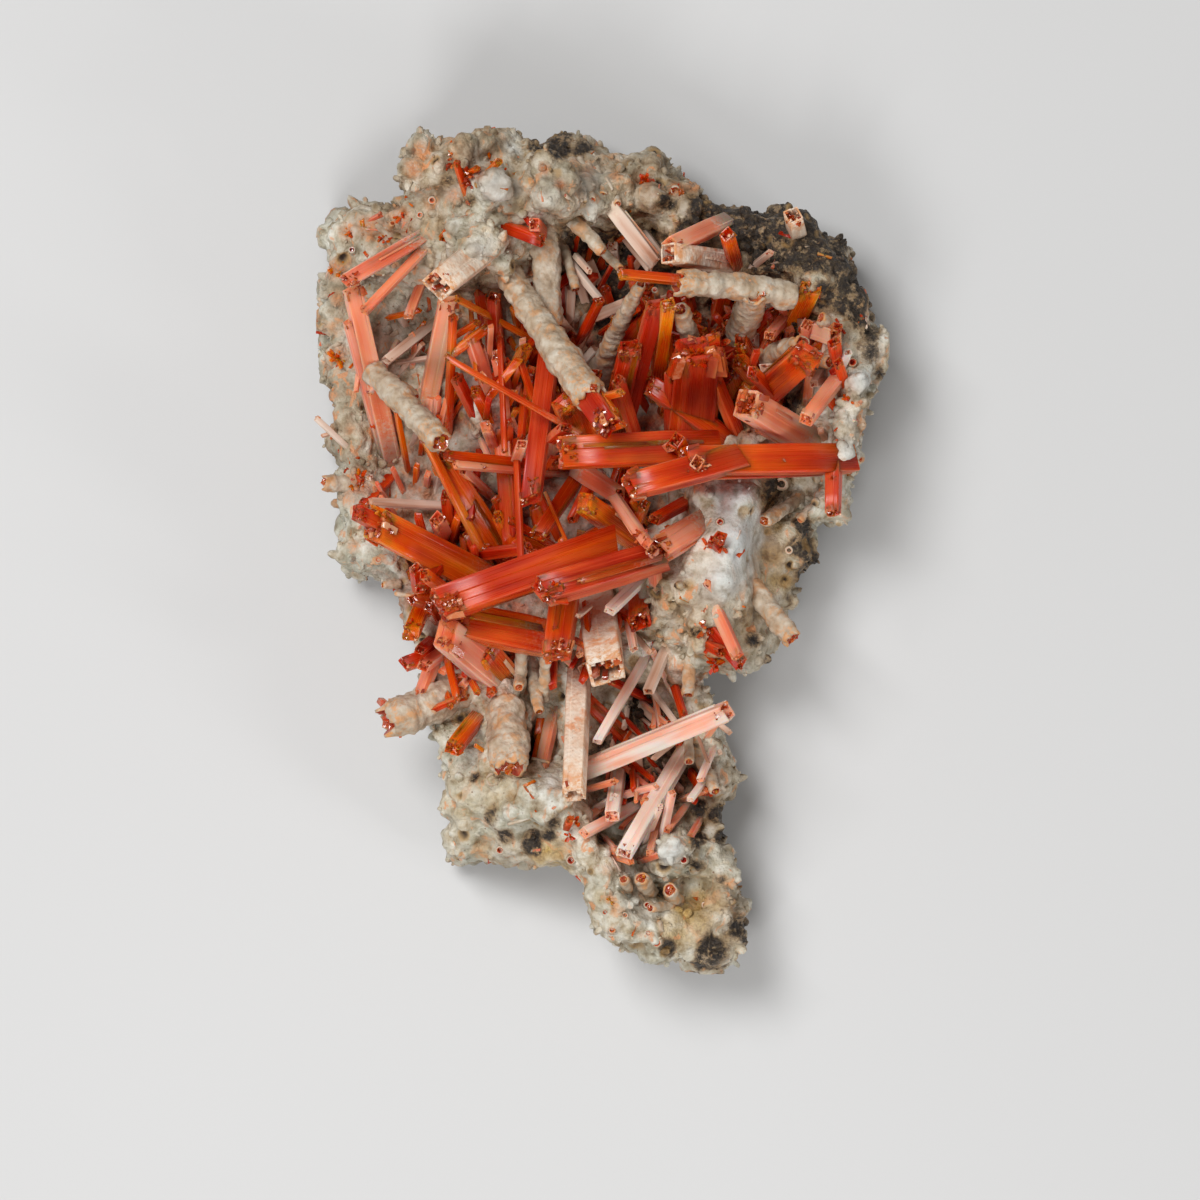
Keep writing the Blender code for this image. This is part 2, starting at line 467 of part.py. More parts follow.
def build_rock():
    points, faces = rock_body()
    rock = add_object("matrix", points, faces, "rock")
    lumps = bmesh.new()
    lumps.from_mesh(rock.data)
    for centre, radius in knobs(70):
        bmesh.ops.create_icosphere(
            lumps, subdivisions=1, radius=radius * MM, matrix=Matrix.Translation(Vector(centre) * MM)
        )
    lumps.to_mesh(rock.data)
    lumps.free()

    skin = rock.modifiers.new("skin", "REMESH")
    skin.mode = "VOXEL"
    skin.voxel_size = ROCK_GRID * MM
    skin.use_smooth_shade = False
    apply_modifiers(rock)

    broad = bpy.data.textures.new("broad", "CLOUDS")
    broad.noise_scale = 7 * MM
    broad.noise_depth = 2
    grain = bpy.data.textures.new("grain", "VORONOI")
    grain.noise_scale = 3.2 * MM
    grain.distance_metric = "DISTANCE"
    for texture, strength, level in ((broad, 3.4, 0.5), (grain, 1.5, 0.4)):
        bump = rock.modifiers.new(texture.name, "DISPLACE")
        bump.texture = texture
        bump.texture_coords = "GLOBAL"
        bump.strength = strength * MM
        bump.mid_level = level
    smooth = rock.modifiers.new("smooth", "SMOOTH")
    smooth.factor = 0.4
    smooth.iterations = 1
    again = rock.modifiers.new("again", "REMESH")
    again.mode = "VOXEL"
    again.voxel_size = ROCK_GRID * MM
    apply_modifiers(rock)
    keep_largest(rock)

    thin = rock.modifiers.new("thin", "DECIMATE")
    thin.ratio = ROCK_FACES / sum(len(p.vertices) - 2 for p in rock.data.polygons)
    thin.use_collapse_triangulate = True
    apply_modifiers(rock)

    slab = add_object("slab", *box((-80, -90, -40), (80, 90, 0.0)), "rock")
    boolean(rock, slab, "DIFFERENCE")
    bpy.data.objects.remove(slab)
    keep_largest(rock)
    return rock


def box(lo, hi):
    points = [(x, y, z) for z in (lo[2], hi[2]) for y in (lo[1], hi[1]) for x in (lo[0], hi[0])]
    faces = [(0, 2, 3, 1), (4, 5, 7, 6), (0, 1, 5, 4), (2, 6, 7, 3), (0, 4, 6, 2), (1, 3, 7, 5)]
    return points, faces


# ---------------------------------------------------------------- the crystals
def section(half_width, half_depth):
    """A flat rhombic prism's cross-section, with two of its corners cut off."""
    a, b, c = half_width, half_depth, 0.32
    return [
        (a, -b * (1 - 2 * c)), (a, b), (-a * (1 - 2 * c), b),
        (-a, b * (1 - 2 * c)), (-a, -b), (a * (1 - 2 * c), -b),
    ]


def prism_mesh(length, width, ratio, slope, hollow, grow):
    """A prism along local Z, its root at the origin. Grow makes the larger form that cuts its socket."""
    a, b = width / 2 + grow, width * ratio / 2 + grow
    ring = section(a, b)
    n = len(ring)
    points = [(x, y, -grow) for x, y in ring]
    points += [(x * 0.96, y * 0.96, length + grow + slope * x + 0.35 * slope * y) for x, y in ring]
    faces = [tuple(reversed(range(n)))]
    faces += [(i, (i + 1) % n, n + (i + 1) % n, n + i) for i in range(n)]
    if not hollow or grow:
        faces.append(tuple(range(n, 2 * n)))
        return points, faces
    deep = min(0.9 * width, 0.4 * length)
    points += [(x * 0.66, y * 0.66, length + slope * x) for x, y in ring]
    points += [(x * 0.45, y * 0.45, length - deep) for x, y in ring]
    faces += [(n + i, n + (i + 1) % n, 2 * n + (i + 1) % n, 2 * n + i) for i in range(n)]
    faces += [(2 * n + i, 2 * n + (i + 1) % n, 3 * n + (i + 1) % n, 3 * n + i) for i in range(n)]
    faces.append(tuple(range(3 * n, 4 * n)))
    return points, faces


def finger_mesh(name_key, length, width, flare, grow):
    """A finger of crust along local Z: knobbly rings that close in a round end."""
    sides = 8
    stations = max(4, int(round(length / (0.75 * width))) + 1)
    points, faces = [], []
    for s in range(stations + 1):
        t = s / stations
        r = width / 2 * (1 + flare * (t - 0.5))
        if s == stations:
            r *= 0.55
        for k in range(sides):
            w = 1.0 if grow else 0.88 + 0.24 * hashed(name_key, s, k)
            turn = 2 * math.pi * (k + 0.5 * (s % 2)) / sides
            rr = r * w * (1.1 if grow else 1.0) + grow
            points.append((rr * math.cos(turn), rr * math.sin(turn), t * length + (grow if s == stations else 0) - (grow if s == 0 else 0)))
    for s in range(stations):
        for k in range(sides):
            a, b = s * sides + k, s * sides + (k + 1) % sides
            c, d = a + sides, b + sides
            if s % 2 == 0:
                faces += [(a, b, c), (b, d, c)]
            else:
                faces += [(a, b, d), (a, d, c)]
    faces.append(tuple(reversed(range(sides))))
    points.append((0, 0, length * 1.0 + grow + 0.16 * width))
    last = stations * sides
    faces += [(last + k, last + (k + 1) % sides, len(points) - 1) for k in range(sides)]
    return points, faces


def crystal_pose(root, tip, roll):
    """Origin and axes of a crystal: its length from root to tip, its width across the view, turned by its roll."""
    axis = tip - root
    length = np.linalg.norm(axis)
    axis = axis / length
    middle = (root + tip) / 2
    sight = np.array(EYE) - middle
    across = np.cross(axis, sight / np.linalg.norm(sight))
    across /= np.linalg.norm(across)
    other = np.cross(axis, across)
    r = math.radians(roll)
    x = across * math.cos(r) + other * math.sin(r)
    y = np.cross(axis, x)
    turn = Matrix(((x[0], y[0], axis[0]), (x[1], y[1], axis[1]), (x[2], y[2], axis[2])))
    return length, turn


def crystal(index, grow=0.0):
    name, habit, a, b, width, ratio, roll, last = CRYSTALS[index]
    root, tip = at(*a), at(*b)
    length, turn = crystal_pose(root, tip, roll)
    middle_z = (a[2] + b[2]) / 2
    wide = width * (EYE_MM - middle_z) / (EYE_MM - PLANE_MM) / UNITS_PER_MM
    r = math.radians(roll)
    if habit == "crust":
        points, faces = finger_mesh(index, length, wide, last, grow)
    else:
        wide /= math.cos(r) + ratio * abs(math.sin(r))
        points, faces = prism_mesh(length, wide, ratio, last, habit == "husk", grow)
    made = add_object(name if not grow else "socket", points, faces, habit)
    made.location = Vector(root) * MM
    made.rotation_euler = turn.to_euler()
    bpy.context.view_layer.update()
    return made


def build():
    for old in list(bpy.data.objects):
        bpy.data.objects.remove(old, do_unlink=True)

    rock = build_rock()
    for i in range(len(CRYSTALS)):
        socket = crystal(i, grow=GAP)
        boolean(rock, socket, "DIFFERENCE")
        bpy.data.objects.remove(socket)
    keep_largest(rock)

    made = {c[0]: crystal(i) for i, c in enumerate(CRYSTALS)}
    for cluster, members in GROWN_TOGETHER.items():
        first = made[members[0]]
        for other in members[1:]:
            boolean(first, made[other], "UNION")
            bpy.data.objects.remove(made.pop(other))
        first.name = cluster
        first.data.name = cluster

    # the middle of the whole outer box stands over the origin
    holder = bpy.data.objects.new("specimen", None)
    bpy.context.scene.collection.objects.link(holder)
    bpy.context.view_layer.update()
    corners = []
    for shape in bpy.data.objects:
        if shape.type == "MESH":
            shape.parent = holder
            corners += [shape.matrix_world @ v.co for v in shape.data.vertices]
    lo = [min(c[k] for c in corners) for k in range(3)]
    hi = [max(c[k] for c in corners) for k in range(3)]
    holder.location = (-(lo[0] + hi[0]) / 2, -(lo[1] + hi[1]) / 2, -lo[2])
    print("box mm", [round(v * 1000, 3) for v in lo], [round(v * 1000, 3) for v in hi])


build()
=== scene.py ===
"""The crocoite specimen's looks: crusted rock, striated red-orange prisms with hollow ends, coated fingers, needles and druse."""

import math

import bmesh
import bpy
import numpy as np
from mathutils import Matrix, Vector
from mathutils.geometry import delaunay_2d_cdt


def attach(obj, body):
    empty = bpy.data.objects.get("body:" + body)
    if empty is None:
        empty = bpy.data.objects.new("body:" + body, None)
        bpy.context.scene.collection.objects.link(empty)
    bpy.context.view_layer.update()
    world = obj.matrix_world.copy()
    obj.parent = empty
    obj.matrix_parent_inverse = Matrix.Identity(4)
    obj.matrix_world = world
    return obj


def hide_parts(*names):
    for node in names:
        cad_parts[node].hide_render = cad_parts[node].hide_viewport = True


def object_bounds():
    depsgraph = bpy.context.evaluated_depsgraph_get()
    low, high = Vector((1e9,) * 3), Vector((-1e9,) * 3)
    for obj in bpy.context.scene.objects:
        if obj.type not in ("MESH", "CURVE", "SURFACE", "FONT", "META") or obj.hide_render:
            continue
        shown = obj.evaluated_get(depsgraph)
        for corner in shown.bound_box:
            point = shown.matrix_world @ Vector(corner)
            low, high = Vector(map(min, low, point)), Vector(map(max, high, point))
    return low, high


bpy.context.preferences.edit.use_global_undo = False
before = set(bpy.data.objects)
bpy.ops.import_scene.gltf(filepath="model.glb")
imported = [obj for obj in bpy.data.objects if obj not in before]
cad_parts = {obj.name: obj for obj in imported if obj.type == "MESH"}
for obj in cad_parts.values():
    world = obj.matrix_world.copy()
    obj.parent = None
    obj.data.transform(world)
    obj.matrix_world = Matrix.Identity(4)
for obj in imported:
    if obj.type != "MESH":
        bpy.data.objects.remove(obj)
CAD_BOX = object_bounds()

MM = 0.001
FINE = 0.5                  # resolution of the rock's skin, mm
ROCK_TRIANGLES = 192000      # the rock's skin is thinned to this many
RIM_INSET = 0.9
BACK_INSET = 6.0
BACK_SINK = 1.1

# ---------------------------------------------------------------- dimensions
UNITS_PER_MM = 7.0          # the front view is laid out in sevenths of a millimetre
VIEW_CENTRE = (600.0, 600.0)  # centre of the front view, U to the right and V down
PIECE_CENTRE = (601.1, 552.2)  # the middle of the specimen's outer box, in the same view
EYE_MM = 900.0              # height of the eye over the resting face
PLANE_MM = 22.0             # height at which a unit is exactly 1/7 mm
EYE = (
    (VIEW_CENTRE[0] - PIECE_CENTRE[0]) / UNITS_PER_MM,
    (PIECE_CENTRE[1] - VIEW_CENTRE[1]) / UNITS_PER_MM,
    EYE_MM,
)


def at(u, v, z):
    """Millimetres, in the part's frame, of a front-view point (u, v) that lies z mm above the resting face."""
    k = (EYE_MM - z) / (EYE_MM - PLANE_MM) / UNITS_PER_MM
    return np.array([EYE[0] + (u - VIEW_CENTRE[0]) * k, EYE[1] + (VIEW_CENTRE[1] - v) * k, z], float)


# ---------------------------------------------------------------- outline of the rock, clockwise
OUTLINE = [
    (409, 152), (411, 146), (416, 142), (425, 142), (432, 146), (438, 151), (443, 149), (448, 144), (456, 145), (463, 143),
    (470, 138), (478, 137), (485, 134), (495, 133), (505, 132), (513, 134), (520, 140), (526, 144), (533, 144), (540, 148),
    (546, 152), (550, 146), (556, 141), (564, 139), (573, 142), (580, 141), (587, 145), (588, 153), (597, 156), (607, 155),
    (615, 159), (625, 162), (635, 161), (645, 159), (653, 157), (659, 160), (664, 168), (668, 176), (676, 178), (682, 183),
    (692, 185), (698, 190), (702, 199), (707, 206), (713, 208), (719, 212), (728, 214), (735, 213), (743, 217), (750, 215),
    (757, 218), (764, 219), (770, 217), (777, 219), (781, 214), (786, 211), (794, 211), (802, 212), (808, 218), (813, 226),
    (816, 233), (821, 239), (824, 245), (830, 247), (834, 252), (838, 257), (843, 259), (843, 268), (845, 275), (845, 288),
    (849, 294), (855, 296), (861, 298), (863, 304), (866, 310), (866, 318), (867, 325), (870, 331), (876, 336), (880, 342),
    (884, 345), (885, 353), (884, 360), (880, 363), (875, 369), (873, 377), (868, 381), (863, 386), (861, 395), (863, 402),
    (861, 410), (857, 420), (854, 428), (852, 437), (856, 443), (853, 452), (852, 460), (853, 466), (849, 474), (845, 480),
    (845, 490), (843, 498), (845, 504), (843, 511), (838, 515), (830, 514), (822, 512), (814, 516), (807, 515), (808, 520),
    (811, 527), (808, 534), (805, 541), (809, 549), (812, 556), (808, 563), (801, 567), (794, 567), (790, 573), (788, 580),
    (786, 586), (790, 592), (792, 598), (787, 601), (780, 602), (775, 610), (772, 620), (774, 630), (775, 640), (770, 648),
    (762, 647), (756, 645), (750, 647), (745, 653), (740, 660), (733, 664), (725, 664), (715, 662), (705, 662), (698, 660),
    (697, 668), (697, 678), (696, 686), (700, 692), (705, 699), (709, 706), (712, 713), (716, 721), (718, 730), (719, 742),
    (718, 752), (721, 760), (724, 768), (727, 776), (728, 784), (724, 792), (720, 798), (716, 803), (717, 812), (717, 822),
    (716, 830), (717, 838), (719, 846), (724, 853), (727, 862), (727, 870), (730, 877), (729, 886), (728, 895), (728, 903),
    (733, 910), (739, 917), (742, 925), (741, 935), (740, 943), (735, 948), (732, 956), (726, 961), (718, 966), (709, 970),
    (704, 968), (701, 962), (696, 958), (688, 960), (681, 958), (676, 954), (670, 958), (664, 959), (658, 957), (654, 960),
    (648, 962), (643, 958), (638, 951), (631, 949), (625, 945), (617, 942), (611, 938), (605, 933), (600, 928), (598, 920),
    (598, 912), (594, 905), (593, 896), (595, 888), (592, 880), (586, 874), (578, 870), (570, 867), (560, 866), (550, 864),
    (542, 862), (536, 858), (525, 856), (518, 855), (510, 857), (503, 862), (495, 861), (485, 859), (475, 858), (465, 859),
    (457, 858), (454, 852), (457, 844), (460, 836), (459, 827), (454, 822), (450, 816), (448, 811), (451, 805), (457, 801),
    (454, 795), (452, 788), (451, 780), (453, 772), (459, 766), (455, 759), (449, 752), (443, 744), (438, 735), (432, 725),
    (430, 715), (429, 705), (427, 695), (427, 686), (432, 680), (438, 675), (439, 669), (430, 666), (421, 662), (418, 655),
    (420, 648), (422, 640), (417, 630), (411, 620), (406, 609), (403, 602), (407, 594), (405, 588), (400, 583), (396, 578),
    (388, 576), (380, 573), (372, 571), (362, 569), (352, 568), (348, 562), (347, 550), (346, 540), (346, 532), (350, 527),
    (352, 520), (349, 512), (345, 504), (344, 498), (347, 492), (351, 487), (350, 480), (346, 474), (346, 465), (346, 457),
    (344, 450), (338, 443), (336, 436), (338, 428), (334, 422), (335, 412), (339, 405), (338, 396), (338, 388), (337, 380),
    (332, 375), (330, 366), (326, 360), (325, 353), (330, 346), (328, 338), (324, 330), (322, 322), (327, 315), (329, 307),
    (326, 300), (323, 292), (320, 284), (325, 278), (331, 272), (332, 262), (335, 256), (343, 253), (344, 246), (341, 240),
    (333, 239), (331, 230), (333, 222), (338, 219), (346, 217), (350, 211), (358, 208), (366, 208), (375, 210), (385, 211),
    (392, 208), (400, 203), (408, 200), (412, 194), (412, 186), (409, 178), (408, 168), (411, 161),
]

# ---------------------------------------------------------------- relief of the front: (u, v, height in mm)
RELIEF = [
    # left wall, a low shelf of crust
    (340, 230, 16), (380, 232, 18), (405, 225, 20), (335, 290, 14), (370, 300, 12), (395, 310, 11), (328, 330, 13),
    (340, 380, 12), (350, 440, 13), (350, 490, 14), (360, 545, 15), (392, 568, 16), (408, 600, 17), (330, 350, 13),
    # top left lobes and the white brow
    (420, 150, 24), (432, 178, 26), (460, 168, 27), (425, 205, 22), (450, 215, 25), (490, 185, 30), (490, 150, 24),
    (512, 145, 21), (545, 178, 31), (560, 205, 31), (582, 182, 26), (562, 150, 18), (600, 165, 19), (640, 168, 20),
    (640, 192, 22), (610, 200, 25), (672, 182, 20), (695, 202, 20), (480, 235, 25), (505, 245, 23), (520, 205, 27),
    (540, 230, 20),
    # the hollow
    (585, 240, 13), (600, 262, 9), (635, 245, 11), (600, 330, 8), (650, 330, 8), (700, 320, 9), (560, 290, 11),
    (620, 400, 8), (700, 400, 9), (740, 310, 10), (560, 370, 8), (520, 300, 10), (480, 320, 10), (430, 320, 9),
    (770, 400, 10), (660, 290, 11), (780, 340, 12), (720, 360, 8),
    # dark upper right rim
    (682, 222, 21), (720, 232, 20), (742, 228, 19), (770, 228, 19), (800, 222, 19), (822, 252, 20), (842, 282, 19),
    (760, 262, 19), (800, 268, 22), (822, 280, 24), (852, 312, 20), (830, 308, 21), (872, 345, 20), (860, 372, 23),
    (850, 402, 25), (852, 438, 25), (848, 470, 24), (832, 505, 20), (815, 330, 17), (835, 350, 22), (830, 400, 19),
    (820, 430, 17), (780, 290, 17), (745, 280, 17),
    # lower right: a smooth white dome, an ochre flank
    (800, 490, 14), (782, 505, 15), (800, 530, 18), (795, 560, 17), (782, 590, 16), (762, 605, 18), (742, 500, 27),
    (730, 540, 29), (722, 580, 29), (700, 560, 27), (700, 620, 26), (720, 642, 24), (742, 605, 26), (690, 640, 23),
    (760, 635, 17), (715, 495, 24), (672, 580, 25), (668, 610, 22), (660, 540, 15), (770, 545, 17),
    # lower part of the hollow
    (550, 480, 9), (450, 480, 9), (400, 400, 9), (450, 410, 9), (478, 400, 15), (478, 380, 14), (420, 350, 9),
    (500, 520, 8), (560, 520, 9), (600, 520, 9), (650, 500, 10), (460, 560, 10), (610, 600, 11), (560, 560, 9),
    (520, 620, 12), (470, 630, 15), (430, 620, 17), (400, 500, 10), (420, 560, 12), (640, 460, 9), (740, 460, 15),
    (780, 440, 12), (385, 450, 10),
    # the leg: crust on the left, a needle-filled hollow on the right, a yellow foot
    (440, 658, 17), (470, 688, 18), (500, 695, 19), (505, 740, 19), (455, 710, 16), (470, 775, 19), (500, 782, 21),
    (462, 812, 18), (472, 846, 15), (520, 800, 23), (548, 800, 24), (572, 830, 24), (532, 842, 18), (560, 852, 20),
    (590, 862, 23), (602, 902, 22), (622, 922, 23), (650, 905, 20), (660, 862, 23), (680, 848, 24), (600, 780, 11),
    (630, 780, 8), (660, 760, 8), (690, 770, 9), (640, 720, 8), (600, 700, 10), (675, 700, 10), (702, 690, 14),
    (712, 740, 15), (717, 782, 16), (703, 805, 12), (695, 828, 12), (722, 860, 17), (722, 902, 18), (692, 895, 14),
    (660, 890, 13), (690, 930, 19), (732, 930, 15), (720, 950, 18), (652, 940, 21), (642, 955, 17), (700, 960, 16),
    (612, 882, 22), (640, 875, 16), (555, 700, 11), (535, 745, 10), (610, 830, 10), (640, 840, 11), (680, 650, 17),
    (655, 650, 12), (620, 655, 13), (540, 680, 13), (575, 690, 14),
]

SEED = 7


def hashed(*n):
    """A repeatable number from 0 to 1 for some whole numbers."""
    a = 0.5
    for k in n:
        a = math.sin(a * 91.17 + k * 12.9898 + SEED * 0.731) * 43758.5453
        a -= math.floor(a)
    return a


def relief(u, v):
    """Height of the front, in mm, at front-view points."""
    u, v = np.atleast_1d(np.asarray(u, float)), np.atleast_1d(np.asarray(v, float))
    r = np.array(RELIEF, float)
    d = (u[:, None] - r[:, 0]) ** 2 + (v[:, None] - r[:, 1]) ** 2
    w = 1.0 / (d + 60.0) ** 2
    return (w * r[:, 2]).sum(1) / w.sum(1)


def inside(u, v, poly):
    u, v = np.atleast_1d(u), np.atleast_1d(v)
    p = np.array(poly, float)
    q = np.roll(p, -1, axis=0)
    hit = np.zeros(len(u), bool)
    for (x0, y0), (x1, y1) in zip(p, q):
        if y0 == y1:
            continue
        c = ((y0 > v) != (y1 > v)) & (u < (x1 - x0) * (v - y0) / (y1 - y0) + x0)
        hit ^= c
    return hit


def edge_distance(u, v, poly):
    u, v = np.atleast_1d(np.asarray(u, float)), np.atleast_1d(np.asarray(v, float))
    p = np.array(poly, float)
    q = np.roll(p, -1, axis=0)
    best = np.full(len(u), 1e9)
    for (x0, y0), (x1, y1) in zip(p, q):
        dx, dy = x1 - x0, y1 - y0
        t = np.clip(((u - x0) * dx + (v - y0) * dy) / (dx * dx + dy * dy), 0, 1)
        best = np.minimum(best, np.hypot(u - x0 - t * dx, v - y0 - t * dy))
    return best


# ---------------------------------------------------------------- crystals
# name, habit, root (u, v, z), tip (u, v, z), width in view units, depth over width, roll in degrees, slope of the end
# habits: ruby, flame, rose, tan = bare prisms; husk = a prism under crust with a hollow end; crust = a finger of crust
CRYSTALS = [
    # left of the hollow
    ("left_long_a", "rose", (394, 472, 8.8), (352, 288, 23), 22, 0.8, 12, 0.3),
    ("left_long_b", "rose", (384, 463, 9.0), (347, 322, 21.8), 10, 1.0, 20, 0.2),
    ("left_finger", "crust", (374, 372, 17.5), (441, 442, 29), 25, 0.9, 0, 0.0),
    ("left_short", "ruby", (404, 464, 8), (363, 505, 15), 13, 0.9, 20, 0.2),
    ("top_left_bar", "ruby", (430, 232, 21), (346, 281, 28), 18, 0.9, 10, 0.2),
    ("top_left_rod", "rose", (436, 237, 20), (364, 312, 26), 12, 0.9, 25, 0.1),
    ("hollow_end_left", "husk", (498, 238, 22), (437, 286, 35), 33, 0.9, 5, 0.0),
    ("left_stub", "rose", (428, 266, 14), (408, 317, 19), 12, 0.9, 15, 0.2),
    ("upright_rose", "rose", (423, 428, 8), (448, 299, 20), 21, 0.8, 8, 0.2),
    ("slim_upright", "flame", (447, 454, 8.5), (453, 316, 23), 10, 1.0, 30, 0.3),
    ("short_bar", "ruby", (449, 356, 19), (488, 327, 21), 11, 0.9, 15, 0.2),
    ("cross_needle_upper", "flame", (575, 363, 6.2), (456, 298, 23), 8, 0.9, 20, 0.2),
    ("grey_bar", "tan", (440, 318, 8.3), (386, 361, 17), 12, 0.9, 10, 0.2),
    ("tall_flame", "flame", (489, 266, 11), (513, 558, 15), 22, 0.8, 15, 0.2),
    ("front_ruby", "ruby", (556, 300, 9.5), (531, 500, 28), 23, 0.8, 12, 0.5),
    ("level_bar_a", "rose", (578, 469, 8.2), (446, 455, 25.5), 12, 0.9, 10, 0.2),
    ("level_bar_b", "rose", (578, 474, 8.2), (455, 465, 25), 10, 0.9, 25, 0.2),
    ("low_bar", "tan", (480, 508, 8.4), (371, 502, 19), 10, 0.9, 10, 0.2),
    # lower left
    ("great_left", "ruby", (500, 588, 9.5), (374, 523, 26), 38, 0.8, 8, 0.3),
    ("stepped_end", "ruby", (397, 533, 23), (356, 512, 27), 19, 0.9, 15, 0.2),
    ("long_needle", "flame", (505, 596, 9.5), (423, 436, 24), 11, 0.9, 25, 0.2),
    ("orange_blade", "flame", (520, 580, 8.6), (440, 457, 20), 27, 0.5, 15, 0.3),
    ("end_upright", "ruby", (431, 586, 13), (411, 634, 30), 20, 0.9, 15, 0.2),
    ("diagonal_upper", "ruby", (614, 544, 29), (438, 606, 34), 42, 0.8, 14, 0.2),
    ("diagonal_front", "rose", (662, 556, 30), (541, 592, 37), 36, 0.8, 20, 0.3),
    ("lower_flame", "flame", (558, 641, 22), (446, 618, 28), 42, 0.7, 12, 0.2),
    ("lower_upright", "ruby", (566, 590, 22), (557, 656, 28), 32, 0.8, 10, 0.3),
    ("lower_pink", "rose", (500, 679, 17), (446, 634, 30), 40, 0.7, 18, 0.3),
    ("lower_red", "ruby", (509, 678, 16), (484, 648, 24), 28, 0.8, 12, 0.2),
    # middle
    ("white_finger", "crust", (500, 262, 19.5), (610, 428, 38), 32, 0.95, 0, 0.35),
    ("orange_block", "flame", (594, 466, 8), (566, 401, 29), 32, 0.7, 12, 0.3),
    ("cross_needle_lower", "flame", (580, 434, 25), (446, 357, 27.5), 8, 0.9, 20, 0.2),
    ("pink_needle", "rose", (590, 462, 8), (647, 543, 38), 14, 0.9, 18, 0.2),
    ("crossbar_back", "ruby", (714, 446, 29), (559, 453, 32), 38, 0.8, 10, 0.1),
    ("crossbar_pink", "rose", (744, 456, 32), (629, 487, 38), 34, 0.85, 18, 0.1),
    ("crossbar_long", "ruby", (848, 459, 23.5), (684, 462, 35), 36, 0.8, 12, 0.1),
    ("crossbar_end", "ruby", (834, 452, 24.5), (833, 514, 28), 18, 0.9, 15, 0.2),
    ("pink_block", "rose", (818, 447, 16.5), (745, 403, 33), 36, 0.8, 20, 0.0),
    ("dark_diagonal", "ruby", (730, 441, 13), (650, 385, 19), 24, 0.8, 15, 0.2),
    ("fan_a", "ruby", (620, 440, 9), (656, 304, 29), 22, 0.8, 20, 0.3),
    ("fan_b", "ruby", (610, 436, 9), (631, 346, 25), 26, 0.8, 12, 0.2),
    ("fan_white", "crust", (597, 378, 8.5), (641, 284, 30), 17, 0.95, 0, -0.9),
    ("fan_c", "flame", (654, 400, 9), (668, 303, 31), 17, 0.8, 20, 0.3),
    ("fan_block", "ruby", (688, 450, 8), (698, 346, 26), 52, 0.6, 10, 0.2),
    ("back_red", "ruby", (588, 462, 9), (538, 536, 19), 18, 0.8, 15, 0.2),
    # right
    ("pointer_tip", "flame", (690, 281, 29.5), (620, 274, 35), 12, 0.9, 22, 0.2),
    ("pointer_root", "crust", (793, 296, 25), (678, 283, 31), 27, 0.9, 0, 0.0),
    ("short_white", "crust", (738, 343, 9.2), (756, 291, 29), 27, 0.9, 0, 0.0),
    ("orange_upright", "flame", (787, 338, 12), (812, 287, 24), 24, 0.8, 18, 0.3),
    ("right_pink", "rose", (846, 368, 21.5), (806, 420, 31), 18, 0.9, 18, 0.1),
    ("right_ruby", "ruby", (754, 402, 9), (807, 355, 30), 36, 0.8, 15, 0.1),
    ("upper_pink", "rose", (724, 222, 19), (671, 246, 31), 22, 0.9, 18, 0.2),
    ("upper_husk", "husk", (738, 264, 16.5), (668, 253, 32), 25, 0.85, 12, 0.0),
    ("corner_square", "husk", (800, 247, 14), (793, 215, 25), 20, 1.0, 12, 0.0),
    ("arching_rod", "tan", (608, 202, 24), (656, 264, 23), 18, 0.9, 10, 0.2),
    ("pale_column", "crust", (545, 220, 20), (548, 324, 21), 29, 0.9, 0, 0.0),
    ("drip_finger", "crust", (563, 212, 24), (603, 252, 27), 13, 0.9, 0, 0.0),
    ("brown_finger", "crust", (750, 585, 20), (793, 639, 24), 21, 0.95, 0, 0.0),
    ("pink_lath", "rose", (711, 598, 25), (738, 657, 29), 15, 0.8, 18, 0.2),
    # under the middle
    ("hollow_husk", "husk", (596, 590, 10), (606, 671, 32), 42, 0.8, 8, 0.0),
    ("pale_strut", "rose", (648, 573, 21), (609, 611, 27), 14, 0.9, 15, 0.2),
    ("bright_orange", "flame", (648, 549, 12), (584, 503, 30), 27, 0.8, 22, 0.2),
    ("pink_root", "rose", (704, 523, 23), (657, 552, 30), 31, 0.85, 18, 0.0),
    # the leg
    ("short_column", "crust", (506, 704, 18), (508, 768, 24), 38, 0.8, 0, 0.0),
    ("pale_post", "husk", (580, 655, 12.5), (574, 796, 27), 26, 0.9, 12, 0.0),
    ("left_arm", "crust", (468, 688, 16), (387, 721, 20), 38, 0.7, 0, 0.0),
    ("orange_stub", "flame", (478, 717, 17), (453, 749, 25), 20, 0.9, 20, 0.2),
    ("long_pink", "rose", (562, 779, 14), (728, 711, 31), 23, 0.85, 12, 0.1),
    ("strut_white", "rose", (692, 738, 11), (624, 854, 25), 20, 0.9, 15, 0.1),
    ("leg_needle", "rose", (661, 631, 11), (597, 742, 20), 12, 0.9, 15, 0.2),
    ("leg_ruby", "ruby", (632, 744, 8), (580, 694, 13), 18, 0.9, 12, 0.2),
    ("leg_post", "rose", (620, 764, 8.6), (612, 816, 23), 17, 0.9, 12, 0.1),
    ("leg_bar", "rose", (648, 800, 9.5), (584, 833, 25), 13, 0.9, 12, 0.1),
]

